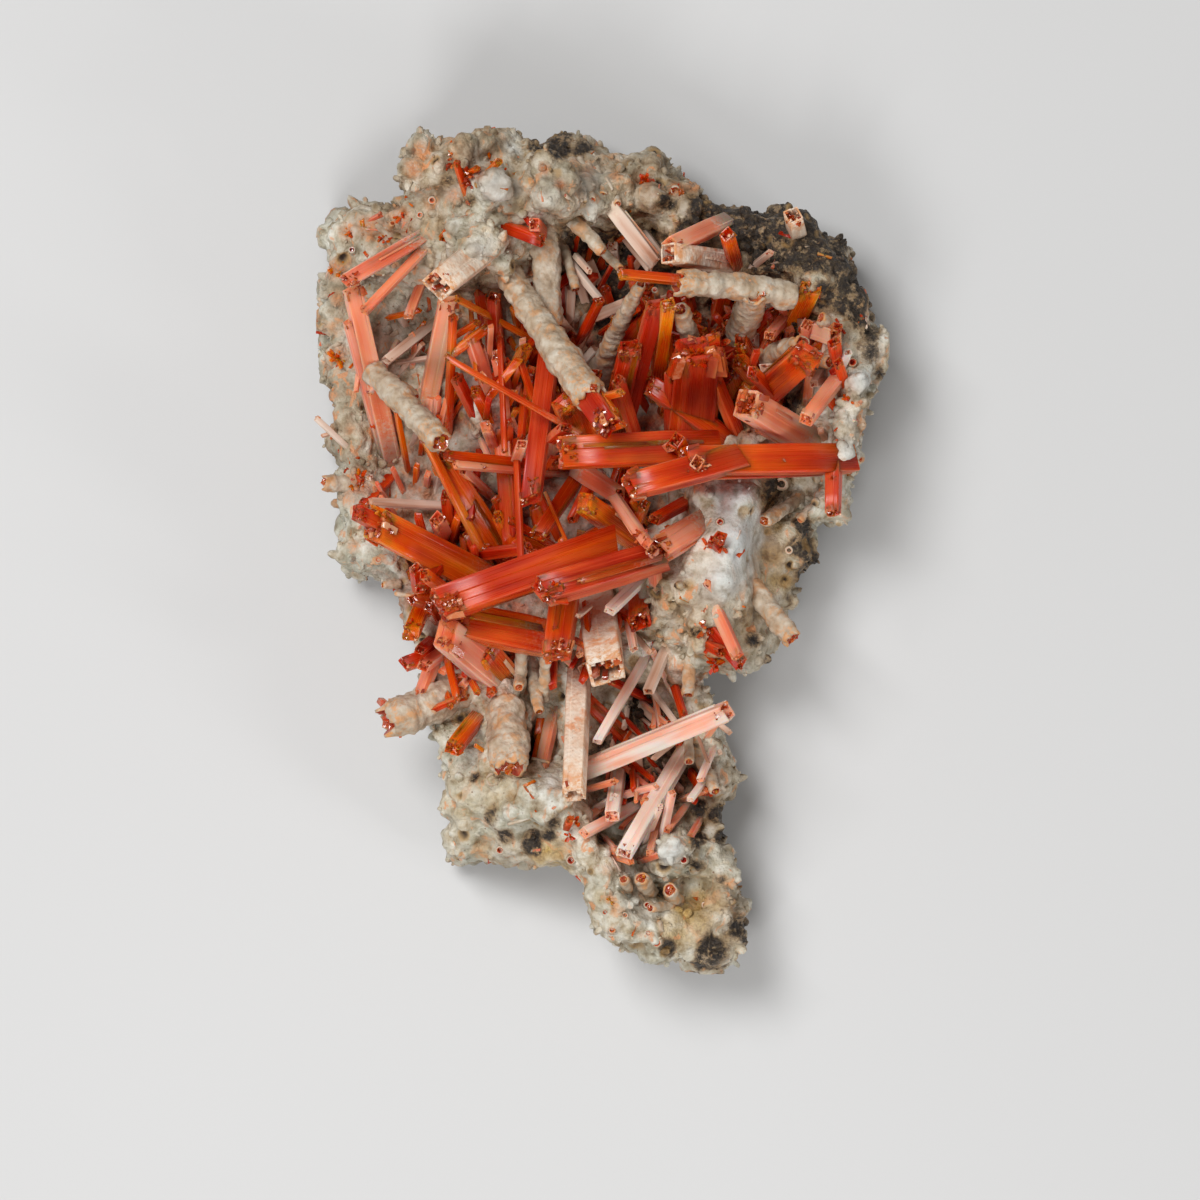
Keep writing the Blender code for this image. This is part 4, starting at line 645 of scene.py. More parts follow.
def lumps():
    """Extra knobs on the rim and the crusted parts: centre in mm, radius in mm."""
    found = []
    for i in range(len(OUTLINE) * 2):
        u, v = OUTLINE[i // 2]
        z = relief(u, v)[0] * (0.25 + 0.7 * hashed(i, 11))
        c = at(u, v, z) * np.array([0.985, 0.985, 1.0])
        found.append((c + 1.2 * (np.array([hashed(i, k) for k in (1, 2, 3)]) - 0.5), 0.6 + 1.1 * hashed(i, 12)))
    # named bumps of the front: u, v, height over the relief, radius
    for u, v, up, r in (
        (422, 150, 0.2, 1.9), (414, 172, 0.3, 1.5), (417, 193, 0.3, 1.1), (440, 165, 0.6, 1.4), (465, 150, 0.3, 1.8), (488, 142, 0.2, 1.7),
        (505, 160, 0.6, 2.0), (495, 185, 0.5, 2.6), (540, 165, 0.6, 2.2), (560, 178, 0.8, 2.0), (548, 195, 0.5, 2.2), (575, 195, 0.4, 1.8),
        (480, 225, 0.4, 2.3), (470, 250, 4.0, 2.6), (486, 240, 3.0, 2.8), (500, 262, 2.0, 2.2), (455, 262, 4.0, 2.0), (455, 225, 0.8, 1.8),
        (570, 225, 1.0, 1.6), (535, 225, 1.2, 1.5), (590, 205, 0.4, 1.8), (620, 185, 0.2, 1.9), (650, 195, 0.2, 1.7), (690, 210, 0.3, 1.5),
        (812, 515, 0.4, 1.0), (790, 550, 0.8, 0.8), (774, 545, 0.8, 0.9), (672, 850, 0.6, 2.2), (641, 878, 0.4, 1.3), (493, 780, 0.1, 1.2),
        (657, 942, 0.3, 1.0), (605, 870, 0.4, 1.5), (560, 800, 0.5, 1.6), (530, 790, 0.3, 1.5), (545, 815, 0.4, 1.5), (480, 800, 0.4, 1.7),
        (512, 812, 0.3, 1.3), (585, 845, 0.3, 1.7), (620, 905, 0.4, 1.8), (640, 922, 0.3, 1.4), (470, 835, 0.4, 1.6), (665, 605, 0.6, 1.9),
        (690, 590, 0.5, 2.2), (700, 640, 0.4, 1.9), (745, 640, 0.3, 1.6), (760, 615, 0.3, 1.4), (672, 640, 0.5, 1.3), (655, 620, 0.3, 1.4),
        (850, 330, 0.3, 1.4), (865, 350, 0.5, 1.5), (855, 385, 0.5, 1.3), (845, 425, 0.6, 1.5), (840, 455, 0.3, 1.4), (400, 400, 0.0, 1.3),
    ):
        found.append((at(u, v, relief(u, v)[0] + up), r))
    for i in range(700):
        u, v = 320 + 560 * hashed(i, 21), 135 + 830 * hashed(i, 22)
        if not inside(u, v, OUTLINE)[0] or math.hypot(u - 735, v - 542) < 50:
            continue
        z = relief(u, v)[0]
        if z < 13:
            continue
        r = 0.45 + 0.8 * hashed(i, 23)
        found.append((at(u, v, z - 0.25 * r), r))
    return found


def ball(levels):
    """Points and triangles of a unit ball."""
    shape = bmesh.new()
    bmesh.ops.create_icosphere(shape, subdivisions=levels, radius=1.0)
    points = np.array([tuple(v.co) for v in shape.verts])
    faces = np.array([[v.index for v in f.verts] for f in shape.faces])
    shape.free()
    return points, faces


def outward(i):
    """Which way the silhouette points at one of its corners, and how sharply it bends out there."""
    p, q, r = (np.array(OUTLINE[(i + k) % len(OUTLINE)], float) for k in (-1, 0, 1))
    way = (q - p) / max(np.linalg.norm(q - p), 1e-6) - (r - q) / max(np.linalg.norm(r - q), 1e-6)
    bend = np.linalg.norm(way)
    if bend < 1e-6:
        return np.array([0.0, 0.0]), 0.0
    way = way / bend
    if inside(q[0] + 2 * way[0], q[1] + 2 * way[1], OUTLINE)[0]:
        return -way, -bend
    return way, bend


def build_rock():
    points, faces = rock_body(1.3)
    mesh = bpy.data.meshes.new("rock")
    mesh.from_pydata([tuple(float(c) * MM for c in p) for p in points], [], faces)
    shape = bmesh.new()
    shape.from_mesh(mesh)
    bmesh.ops.recalc_face_normals(shape, faces=shape.faces)
    if shape.calc_volume(signed=True) < 0:
        bmesh.ops.reverse_faces(shape, faces=shape.faces)
    shape.to_mesh(mesh)
    shape.free()
    co = points_of(mesh)
    solid = [tuple(p.vertices) for p in mesh.polygons]
    unit, tris = ball(2)
    all_points = [co]
    base = len(co)
    for i, (centre, radius) in enumerate(lumps()):
        all_points.append(np.array(centre) + unit * radius * np.array([1, 1, 0.9 + 0.2 * hashed(i, 71)]))
        solid += [tuple(t) for t in (tris + base).tolist()]
        base += len(unit)
    spurs, spur_faces = [], []
    spur_base = 0
    # short spurs where the silhouette juts out
    for i in range(len(OUTLINE)):
        way, bend = outward(i)
        if bend < 0.22:
            continue
        u, v = OUTLINE[i]
        z = relief(u, v)[0] * (0.3 + 0.55 * hashed(i, 61))
        tip = at(u - 1.0 * way[0], v - 1.0 * way[1], z)
        dirn = np.array([way[0], -way[1], 0.3 * (hashed(i, 62) - 0.5)])
        for k in range(8):
            spurs.append(tip - dirn * 0.36 * k + unit * (0.40 + 0.09 * k))
            spur_faces += [tuple(t) for t in (tris + spur_base).tolist()]
            spur_base += len(unit)
    merged = bpy.data.meshes.new("rock")
    merged.from_pydata((np.vstack(all_points) * MM).tolist(), [], solid)
    rock = new_object("crusted_rock", merged)

    def skin(size):
        m = rock.modifiers.new("skin", "REMESH")
        m.mode = "VOXEL"
        m.voxel_size = size * MM
        apply_modifiers(rock)

    def rough_of(p):
        u, v = front_view(p)
        mound = 0.93 * np.clip(1.5 - np.hypot(u - 735, v - 545) / 55, 0, 1)
        leg = 0.45 * np.clip(1.3 - np.hypot((u - 520) / 75, (v - 810) / 62), 0, 1)
        tip = 0.25 * np.clip(1.3 - np.hypot((u - 630) / 50, (v - 900) / 50), 0, 1)
        return 1 - np.maximum(mound, np.maximum(leg, tip))

    skin(0.75)
    p, n = points_of(rock.data), normals_of(rock.data)
    d = 0.9 * fractal(p, 5.0, 3, 3) + 1.0 * (knobs_field(p, 3.0, 9) - 0.45)
    p += n * (d * rough_of(p))[:, None]
    # the spurs join the body before the fine skin is drawn over both
    body_faces = [tuple(q.vertices) for q in rock.data.polygons]
    offset = len(p)
    joined_mesh = bpy.data.meshes.new("rock")
    joined_mesh.from_pydata((np.vstack([p] + spurs) * MM).tolist(), [], body_faces + [tuple(offset + i for i in f) for f in spur_faces])
    old, rock.data = rock.data, joined_mesh
    bpy.data.meshes.remove(old)
    skin(FINE)
    p, n = points_of(rock.data), normals_of(rock.data)
    d = 0.6 * (knobs_field(p, 1.6, 29) - 0.4) + 0.28 * (knobs_field(p, 0.95, 41) - 0.4) + 0.2 * fractal(p, 1.6, 2, 77)
    d = d * rough_of(p) - 1.5 * np.minimum(pits_field(p, 3.6, 0.5, 303), 0.6)
    p += n * d[:, None]
    p[:, 2] = np.maximum(p[:, 2], 0.0)
    # the skin stays inside the solid's box
    lo, hi = (np.array(c) / MM for c in CAD_BOX)
    p[:, 0] = np.clip(p[:, 0], lo[0], hi[0])
    p[:, 1] = np.clip(p[:, 1], lo[1], hi[1])
    set_points(rock.data, p)
    thin = rock.modifiers.new("thin", "DECIMATE")
    thin.ratio = min(1.0, ROCK_TRIANGLES / (2.0 * len(rock.data.polygons)))
    apply_modifiers(rock)
    p = points_of(rock.data)
    p[:, 2] = np.maximum(p[:, 2], 0.0)
    set_points(rock.data, p)
    paint_zones(rock.data)
    for poly in rock.data.polygons:
        poly.use_smooth = True
    return rock


def paint_zones(mesh):
    p, n = points_of(mesh), normals_of(mesh)
    u, v = front_view(p)
    ragged = fractal(p, 3.0, 3, 5)
    for name in ZONES:
        attribute(mesh, name, zone(name, u, v, ragged))
    # painted shade: faces turned downward and the low back of the rock near the floor are marked for the dark colour
    down = np.clip(0.35 - n[:, 2], 0, 1)
    back = np.clip((6.0 - p[:, 2]) / 5.0, 0, 1)
    knob, fine = knobs_field(p, 1.6, 29), knobs_field(p, 0.95, 41)
    # painted shade: marks the creases between the knobs, which the rock's paint darkens
    attribute(mesh, "crease_shade", np.clip(1 - (0.6 * knob + 0.4 * fine), 0, 1))
    attribute(mesh, "pit", pits_field(p, 3.6, 0.5, 303))
    attribute(mesh, "broken", np.clip(np.maximum(down * 0.5, back), 0, 1))


def knob_skin(rock, count):
    """Small knobs seated all over the rock, thickest on the rim, none on the smooth white mound."""
    p, n = points_of(rock.data), normals_of(rock.data)
    unit, tris = ball(2)
    centres, radii, ways = [], [], []
    tried = 0
    while len(centres) < count and tried < count * 30:
        tried += 1
        i = int(hashed(tried, 101) * len(p)) % len(p)
        c, w = p[i], n[i]
        if c[2] < 1.5 or (w[2] > 0.55 and hashed(tried, 109) < 0.4):
            continue
        u, v = front_view(c[None, :])
        if np.hypot(u[0] - 732, v[0] - 545) < 52:
            continue
        if math.hypot((u[0] - 520) / 75, (v[0] - 810) / 60) < 1 and hashed(tried, 108) < 0.8:
            continue
        deep = max(0.0, 1.1 - math.hypot((u[0] - 600) / 130, (v[0] - 400) / 150))
        if hashed(tried, 102) < deep:
            continue
        r = 0.20 + 0.62 * hashed(tried, 103) ** 2.4
        centres.append(c - w * 0.10 * r)
        radii.append(r)
        ways.append(w)
    centres, radii, ways = np.array(centres), np.array(radii), np.array(ways)
    tall = np.array([1.0 + 1.8 * hashed(i, 104) ** 3 for i in range(len(centres))])
    pts = centres[:, None, :] + radii[:, None, None] * unit[None, :, :]
    along = np.einsum("vk,ck->cv", unit, ways)
    pts += (along * (tall - 1)[:, None] * radii[:, None])[:, :, None] * ways[:, None, :]
    pts = pts.reshape(-1, 3)
    faces = (tris[None, :, :] + (np.arange(len(centres)) * len(unit))[:, None, None]).reshape(-1, 3)
    pts += 0.16 * np.stack([fractal(pts, 0.8, 2, s) for s in (201, 202, 203)], 1)
    lo, hi = (np.array(c) / MM for c in CAD_BOX)
    pts = np.clip(pts, lo, hi)
    mesh = bpy.data.meshes.new("knobs")
    mesh.from_pydata((pts * MM).tolist(), [], faces.tolist())
    mesh.update()
    for poly in mesh.polygons:
        poly.use_smooth = True
    paint_zones(mesh)
    return new_object("crust_knobs", mesh)


# ---------------------------------------------------------------- crystals
class Batch:
    """Collects many closed forms into one mesh, with what the materials need at each point."""

    def __init__(self):
        self.points, self.faces, self.slots, self.soft = [], [], [], []
        self.local, self.tone, self.along, self.coat_sheen_and_shade = [], [], [], []
        self.count = 0

    def add(self, points, faces, slots, local, tone, along, coat_sheen_and_shade, soft=None):
        base = self.count
        self.soft += soft if soft is not None else [i == HABIT_INDEX["crust"] for i in slots]
        self.points.append(points)
        self.faces += [tuple(base + i for i in f) for f in faces]
        self.slots += slots
        self.local.append(local)
        self.tone.append(np.broadcast_to(np.asarray(tone, float), (len(points),)))
        self.along.append(along)
        self.coat_sheen_and_shade.append(coat_sheen_and_shade)
        self.count += len(points)

    def object(self, name, materials):
        mesh = bpy.data.meshes.new(name)
        p = np.vstack(self.points)
        mesh.from_pydata((p * MM).tolist(), [], self.faces)
        mesh.update()
        for m in materials:
            mesh.materials.append(m)
        mesh.polygons.foreach_set("material_index", np.array(self.slots, np.int32))
        mesh.polygons.foreach_set("use_smooth", np.array(self.soft, bool))
        attribute(mesh, "grain", np.vstack(self.local), "FLOAT_VECTOR")
        attribute(mesh, "tone", np.concatenate(self.tone))
        attribute(mesh, "along", np.concatenate(self.along))
        attribute(mesh, "coat_sheen_and_shade", np.concatenate(self.coat_sheen_and_shade))
        mesh.validate()
        return new_object(name, mesh)


def crystal_frame(root, tip, roll):
    axis = tip - root
    length = np.linalg.norm(axis)
    axis = axis / length
    sight = np.array(EYE) - (root + tip) / 2
    across = np.cross(axis, sight / np.linalg.norm(sight))
    across /= max(np.linalg.norm(across), 1e-6)
    other = np.cross(axis, across)
    r = math.radians(roll)
    x = across * math.cos(r) + other * math.sin(r)
    return length, x, np.cross(axis, x), axis


def section(a, b, key, strips_wanted):
    """Points round a prism: four flat faces with narrow bevels, each face broken into a few shallow steps that run its length."""
    bevel = 0.15 * min(a, b) + 0.03
    skew = 0.16 * (hashed(key, 90) - 0.5)
    corners = [(a, -b), (a, b), (-a, b), (-a, -b)]
    ring, face, step, edge = [], [], [], []
    for i in range(4):
        (x0, y0), (x1, y1) = corners[i], corners[(i + 1) % 4]
        side = math.hypot(x1 - x0, y1 - y0)
        tx, ty = (x1 - x0) / side, (y1 - y0) / side
        nx, ny = ty, -tx
        inner = 0.26 * bevel
        ring.append((x0 * (1 - inner / a) + skew * y0, y0 * (1 - inner / b)))
        face.append(i)
        step.append(4 * i + 3)
        edge.append(1.0)
        cuts = [0.0, 1.0]
        for s in range(strips_wanted - 1):
            cuts.append(0.12 + 0.76 * hashed(key, i, s, 91))
        cuts.sort()
        for s in range(len(cuts) - 1):
            sink = 0.02 * min(a, b) * hashed(key, i, s, 92) * (hashed(key, i, 89) > 0.7) if strips_wanted > 1 else 0.0
            lo, hi = cuts[s], cuts[s + 1]
            # a second point close to each edge keeps the middle of a wide face flat
            marks = (lo, lo + 0.1 * (hi - lo), hi - 0.1 * (hi - lo), hi) if min(a, b) > 0.62 else (lo, hi)
            for t in marks:
                d = bevel + (side - 2 * bevel) * t
                x, y = x0 + tx * d - nx * sink, y0 + ty * d - ny * sink
                ring.append((x + skew * y, y))
                face.append(i)
                step.append(4 * i + s)
                edge.append(0.0)
    return np.array(ring), face, step, np.array(edge)


HABIT_INDEX = {"ruby": 0, "flame": 1, "rose": 2, "tan": 3, "husk": 4, "crust": 5, "druse": 6, "amber": 7, "frost": 8}
# pale coat on a prism's faces, most and least: the habit's real coat, and painted sheen on the face that turns away
# from the view
COAT_AND_SHEEN = {
    "ruby": (1.0, 0.0), "flame": (0.7, 0.0), "rose": (1.0, 0.45), "tan": (1.0, 0.6), "husk": (0.8, 0.4), "druse": (0.3, 0.1), "amber": (0.2, 0.0), "frost": (1.0, 0.85),
}


def add_prism(batch, key, habit, root, tip, wide, ratio, roll, slope, hollow=0.0, castle=True, strips=None):
    """A stepped prism. Its free end is slanted and ragged, and may be hollow, as skeletal growth leaves it."""
    length, ex, ey, ez = crystal_frame(root, tip, roll)
    r = math.radians(roll)
    wide = wide / (abs(math.cos(r)) + ratio * abs(math.sin(r)))
    a, b = wide / 2, wide * ratio / 2
    if strips is None:
        strips = 1 if wide < 1.2 else (2 if wide < 3.2 else 3)
    ring, face, step, edge = section(a, b, key, strips)
    n = len(ring)
    sight = np.array(EYE) - (root + tip) / 2
    sight /= np.linalg.norm(sight)
    normals = [ex, ey, -ex, -ey]
    facing = [float(np.dot(w, sight)) for w in normals]
    seen = sorted([(f, i) for i, f in enumerate(facing) if f > 0.08])
    most, least = COAT_AND_SHEEN[habit]
    # painted sheen: the seen face that turns most away from the view takes the most pale coat; unseen faces may take it
    # as real coat
    face_coat_and_sheen = []
    for i in range(4):
        amount = least + 0.15 * hashed(key, i, 93)
        if len(seen) > 1 and seen[0][1] == i and hashed(key, 94) > 0.25:
            amount = most
        elif facing[i] <= 0.08 and hashed(key, i, 95) > 0.6:
            amount = most
        face_coat_and_sheen.append(amount)
    # painted highlight: the bevelled edges are made paler
    coat_and_sheen_ring = np.array([np.clip(face_coat_and_sheen[face[k]] + 0.25 * (hashed(key, step[k], 96) - 0.5) + 0.7 * edge[k], 0, 1) for k in range(n)])
    tone = hashed(key, 41)
    tone_ring = np.array([np.clip(tone + 0.35 * (hashed(key, step[k], 97) - 0.5), 0, 1) for k in range(n)])
    drop = np.array([0.16 * wide * hashed(key, step[k], 98) ** 2 for k in range(n)]) if castle else np.zeros(n)
    stations = [0.0, 0.33, 0.7, 1.0] if length > 3 else [0.0, 1.0]
    taper = 0.05 + 0.05 * hashed(key, 99)
    cut_x, cut_y = 1.2 * (hashed(key, 66) - 0.5), 1.0 * (hashed(key, 67) - 0.5)
    pts, along = [], []
    for j, t in enumerate(stations):
        s = 1 - taper * t + 0.02 * (hashed(key, j, 7) - 0.5)
        for k, (x, y) in enumerate(ring):
            z = t * length
            if t == 1.0:
                z += slope * x + 0.35 * slope * y - drop[k]
            if t == 0.0:
                z += cut_x * x + cut_y * y
                s *= 0.9
            pts.append((x * s, y * s, z))
            s = 1 - taper * t + 0.02 * (hashed(key, j, 7) - 0.5)
            along.append(t)
    faces = [tuple(reversed(range(n)))]
    for j in range(len(stations) - 1):
        o = j * n
        faces += [(o + k, o + (k + 1) % n, o + n + (k + 1) % n, o + n + k) for k in range(n)]
    index = HABIT_INDEX[habit]
    soft = [False] + [True] * (len(faces) - 1)
    top = (len(stations) - 1) * n
    last = top
    deep = hollow * wide
    levels = [(0.74, 0.02), (0.60, deep), (0.30, deep * 1.1)] if hollow else [(0.80, -0.03 * wide), (0.45, 0.05 * wide)]
    for scale, down in levels:
        for k, (x, y) in enumerate(ring):
            z = length + (slope * x + 0.35 * slope * y) * scale - drop[k] * 0.6 - down * (0.75 + 0.5 * hashed(key, step[k], 19))
            pts.append((x * scale, y * scale, z))
            along.append(1.0 if down < 0.1 else 0.7)
        faces += [(last + k, last + (k + 1) % n, last + n + (k + 1) % n, last + n + k) for k in range(n)]
        last += n
    faces.append(tuple(last + k for k in range(n)))
    pts = np.array(pts)
    world = root + pts[:, :1] * ex + pts[:, 1:2] * ey + pts[:, 2:] * ez
    loc = pts + np.array([7.3 * hashed(key, 1), 5.1 * hashed(key, 2), 11 * hashed(key, 3)])
    rows = len(pts) // n
    coat_sheen_and_shade = np.tile(coat_and_sheen_ring, rows)
    coat_sheen_and_shade[top + n:] *= 0.3
    soft += [False] * (len(faces) - len(soft))
    batch.add(world, faces, [index] * len(faces), loc, np.tile(tone_ring, rows), np.array(along), coat_sheen_and_shade, soft)
    if castle and wide > 0.75:
        # small parallel individuals crowd the end
        pale = habit in ("husk", "tan", "frost")
        for j in range(int((9 + wide * 6) * (0.5 if pale else 1.0))):
            k = int(hashed(key, j, 51) * n) % n
            x, y = ring[k] * (0.25 + (0.50 if pale else 0.64) * hashed(key, j, 52) ** 0.5)
            w = max(0.10, wide * (0.035 + 0.075 * hashed(key, j, 53) ** 1.5))
            z1 = length + slope * x - drop[k] + 0.5 * w + wide * (0.13 * hashed(key, j, 54) - 0.09)
            z0 = z1 - wide * 0.3 - 2 * w
            tx, ty = 0.55 * (hashed(key, j, 55) - 0.5), 0.55 * (hashed(key, j, 59) - 0.5)
            turn = 0.5 * (hashed(key, j, 60) - 0.5)
            ct, st = math.cos(turn), math.sin(turn)
            block = []
            for z, q in ((z0, 1.0), (z1 - 0.5 * w, 1.0), (z1, 0.5)):
                for sx, sy in ((1, -0.8), (1, 0.8), (-1, 0.8), (-1, -0.8)):
                    gx, gy = sx * w * q, sy * w * q
                    block.append((x + gx * ct - gy * st + tx * (z - z1), y + gx * st + gy * ct + ty * (z - z1), z + 0.6 * w * sx * (hashed(key, j, 56) - 0.5)))
            block = np.array(block)
            bf = [(3, 2, 1, 0), (8, 9, 10, 11)]
            for o in (0, 4):
                bf += [(o + c, o + (c + 1) % 4, o + 4 + (c + 1) % 4, o + 4 + c) for c in range(4)]
            bw = root + block[:, :1] * ex + block[:, 1:2] * ey + block[:, 2:] * ez
            pick = hashed(key, j, 57)
            slot = 7 if pick > 0.55 else (6 if pick > 0.42 else index)
            batch.add(bw, bf, [slot] * len(bf), block + 3.3 * j, np.full(12, hashed(key, j, 58)), np.full(12, 0.9), np.full(12, 0.15))
    return world


def add_bundle(batch, key, habit, root, tip, wide, ratio, roll, slope, hollow):
    """A prism with a few thinner ones grown along its sides."""
    add_prism(batch, key, habit, root, tip, wide, ratio, roll, slope, hollow)
    length, ex, ey, ez = crystal_frame(root, tip, roll)
    for j in range(1 if habit == "husk" else int(1 + wide * 0.6)):
        turn = 2 * math.pi * hashed(key, j, 81)
        reach = wide * (0.34 + 0.10 * hashed(key, j, 82))
        off = ex * math.cos(turn) * reach + ey * math.sin(turn) * reach * ratio
        t0, t1 = 0.35 * hashed(key, j, 83), 0.5 + 0.49 * hashed(key, j, 84)
        w = wide * (0.10 + 0.14 * hashed(key, j, 85))
        lean = (ex * (hashed(key, j, 86) - 0.5) + ey * (hashed(key, j, 87) - 0.5)) * 0.03 * length
        kind = habit if hashed(key, j, 88) > 0.3 else ("flame" if habit == "ruby" else "rose")
        add_prism(batch, key * 7 + j, kind, root + ez * length * t0 + off, root + ez * length * t1 + off + lean, w, 0.7, roll, 0.3, 0.0, w > 0.6)


def add_finger(batch, key, root, tip, wide, flare, bare=0.0, core="ruby"):
    """A finger of knobby crust round a crystal, which shows at the broken end and may stand out of it."""
    length, ex, ey, ez = crystal_frame(root, tip, 0)
    if bare:
        cut = root + (tip - root) * (1 - bare)
        add_prism(batch, key + 5, core, root + (tip - root) * (1 - 2.2 * bare), tip, wide * 0.86 * (1 + flare * 0.4), 0.85, 18, 0.2, 0.3)
        add_prism(batch, key + 6, "flame", root + (tip - root) * (1 - 2.2 * bare) - ex * wide * 0.3, tip - ez * 0.25 * bare * length - ex * wide * 0.36, wide * 0.34, 0.85, 30, 0.2)
        tip = cut
        length *= 1 - bare
    sides = max(14, int(wide * 7))
    rows = max(6, int(length / 0.32))
    t = np.repeat(np.linspace(0, 1, rows + 1), sides)
    k = np.tile(np.arange(sides), rows + 1)
    turn = 2 * math.pi * (k + 0.5 * (np.repeat(np.arange(rows + 1), sides) % 2)) / sides
    swell = np.stack([t * 0, t * 0, t * length], 1) + 31.0 * hashed(key, 4)
    r = wide / 2 * (1 + flare * (t - 0.5)) * (1 + 0.10 * value_noise(swell, 1.1, 7) + 0.07 * value_noise(swell, 3.1, 8))
    r *= 1 - 0.16 * np.clip((t - (1 - 0.35 * wide / length)) / (0.35 * wide / length), 0, 1) ** 2
    local = np.stack([r * np.cos(turn), r * np.sin(turn), t * length], 1)
    q = local + np.array([hashed(key, 1), hashed(key, 2), hashed(key, 3)]) * 50
    knob, fine = knobs_field(q, 1.25, 13), knobs_field(q, 0.7, 23)
    bump = (0.11 * wide * fractal(q, 2.4, 2, 3) * 0.6 + 0.44 * (knob - 0.5) * min(1, wide / 2.6) + 0.16 * (fine - 0.5) * min(1, wide / 2.0))
    local[:, :2] += np.stack([np.cos(turn), np.sin(turn)], 1) * bump[:, None]
    bend = 0.05 * length * (hashed(key, 5) - 0.5)
    local[:, 0] += bend * np.sin(t * math.pi)
    ragged = 0.30 * wide * (fractal(local[-sides:] + 9.0 * hashed(key, 6), 0.9, 2, 5))
    local[-sides:, 2] += ragged * 0.6
    rings = [local]
    for scale, down in ((0.80, -0.01), (0.58, 0.14), (0.30, 0.20)):
        ring = local[-sides:].copy()
        ring[:, :2] *= scale
        ring[:, 2] -= down * wide
        rings.append(ring)
    pts = np.vstack(rings + [[(0, 0, 0)], [(0, 0, length - 0.2 * wide)]])
    q_all = pts + np.array([hashed(key, 1), hashed(key, 2), hashed(key, 3)]) * 50
    faces, slots = [], []
    total_rows = rows + 3
    inside_slot = HABIT_INDEX["amber" if core == "ruby" else core]
    for j in range(total_rows):
        for s in range(sides):
            p0, p1 = j * sides + s, j * sides + (s + 1) % sides
            p2, p3 = p0 + sides, p1 + sides
            if j >= rows:
                faces.append((p0, p1, p3, p2))
                slots.append(HABIT_INDEX["crust"] if j == rows else inside_slot)
            else:
                faces += [(p0, p1, p2), (p1, p3, p2)] if j % 2 == 0 else [(p0, p1, p3), (p0, p3, p2)]
                slots += [HABIT_INDEX["crust"]] * 2
    o, e = len(pts) - 2, len(pts) - 1
    faces += [((s + 1) % sides, s, o) for s in range(sides)]
    slots += [HABIT_INDEX["crust"]] * sides
    faces += [(total_rows * sides + s, total_rows * sides + (s + 1) % sides, e) for s in range(sides)]
    slots += [inside_slot] * sides
    world = root + pts[:, :1] * ex + pts[:, 1:2] * ey + pts[:, 2:] * ez
    # painted shade: the creases between the finger's knobs, which the crust paint darkens
    crease_shade = np.concatenate([1 - (0.6 * knob + 0.4 * fine), np.full(3 * sides + 2, 0.4)])
    along = np.concatenate([t, np.ones(3 * sides), [0, 1]])
    batch.add(world, faces, slots, q_all, hashed(key, 41), along, crease_shade)
    if wide > 0.9:
        # broken ends of the crystal inside
        for j in range(int(3 + wide * 1.6)):
            turn = 2 * math.pi * hashed(key, j, 71)
            off = (ex * math.cos(turn) + ey * math.sin(turn)) * wide * 0.27 * hashed(key, j, 72)
            top = tip + off + ez * wide * (0.10 * hashed(key, j, 73) - 0.10)
            add_prism(batch, key * 3 + j, ("ruby", "flame", "amber")[j % 3], top - ez * wide * 0.4, top, wide * (0.14 + 0.16 * hashed(key, j, 74)), 0.8, 60 * hashed(key, j, 75), 0.4, 0.0, False)
    return world


def add_tube(batch, key, centre, axis, outer, height, core="ruby"):
    """A short tube of crust with a stained hole."""
    axis = np.array(axis, float)
    axis /= np.linalg.norm(axis)
    x = np.cross(axis, [0.31, 0.77, 0.2])
    x /= np.linalg.norm(x)
    y = np.cross(axis, x)
    sides = 16
    turn = 2 * math.pi * np.arange(sides) / sides
    pts, along = [], []
    profile = ((1.15, -1.2 * outer), (1.0, height * 0.6), (0.92, height), (0.70, height * 1.02), (0.52, height * 0.8), (0.42, height - 1.1 * outer))
    for r, z in profile:
        for i, a in enumerate(turn):
            s = outer * r * (1 + 0.12 * (hashed(key, i, 3) - 0.5))
            pts.append(centre + (x * math.cos(a) + y * math.sin(a)) * s + axis * (z + 0.10 * outer * (hashed(key, i, 4) - 0.5)))
            along.append(0.7 if r > 0.5 else 1.0)
    faces, slots = [tuple(reversed(range(sides)))], [HABIT_INDEX["crust"]]
    for j in range(len(profile) - 1):
        for i in range(sides):
            a, b = j * sides + i, j * sides + (i + 1) % sides
            faces.append((a, b, b + sides, a + sides))
            slots.append(HABIT_INDEX["crust"] if j < 3 else HABIT_INDEX[core])
    last = (len(profile) - 1) * sides
    faces.append(tuple(range(last, last + sides)))
    slots.append(HABIT_INDEX[core])
    pts = np.array(pts)
    batch.add(pts, faces, slots, pts, hashed(key, 41), np.array(along), np.full(len(pts), 0.3))


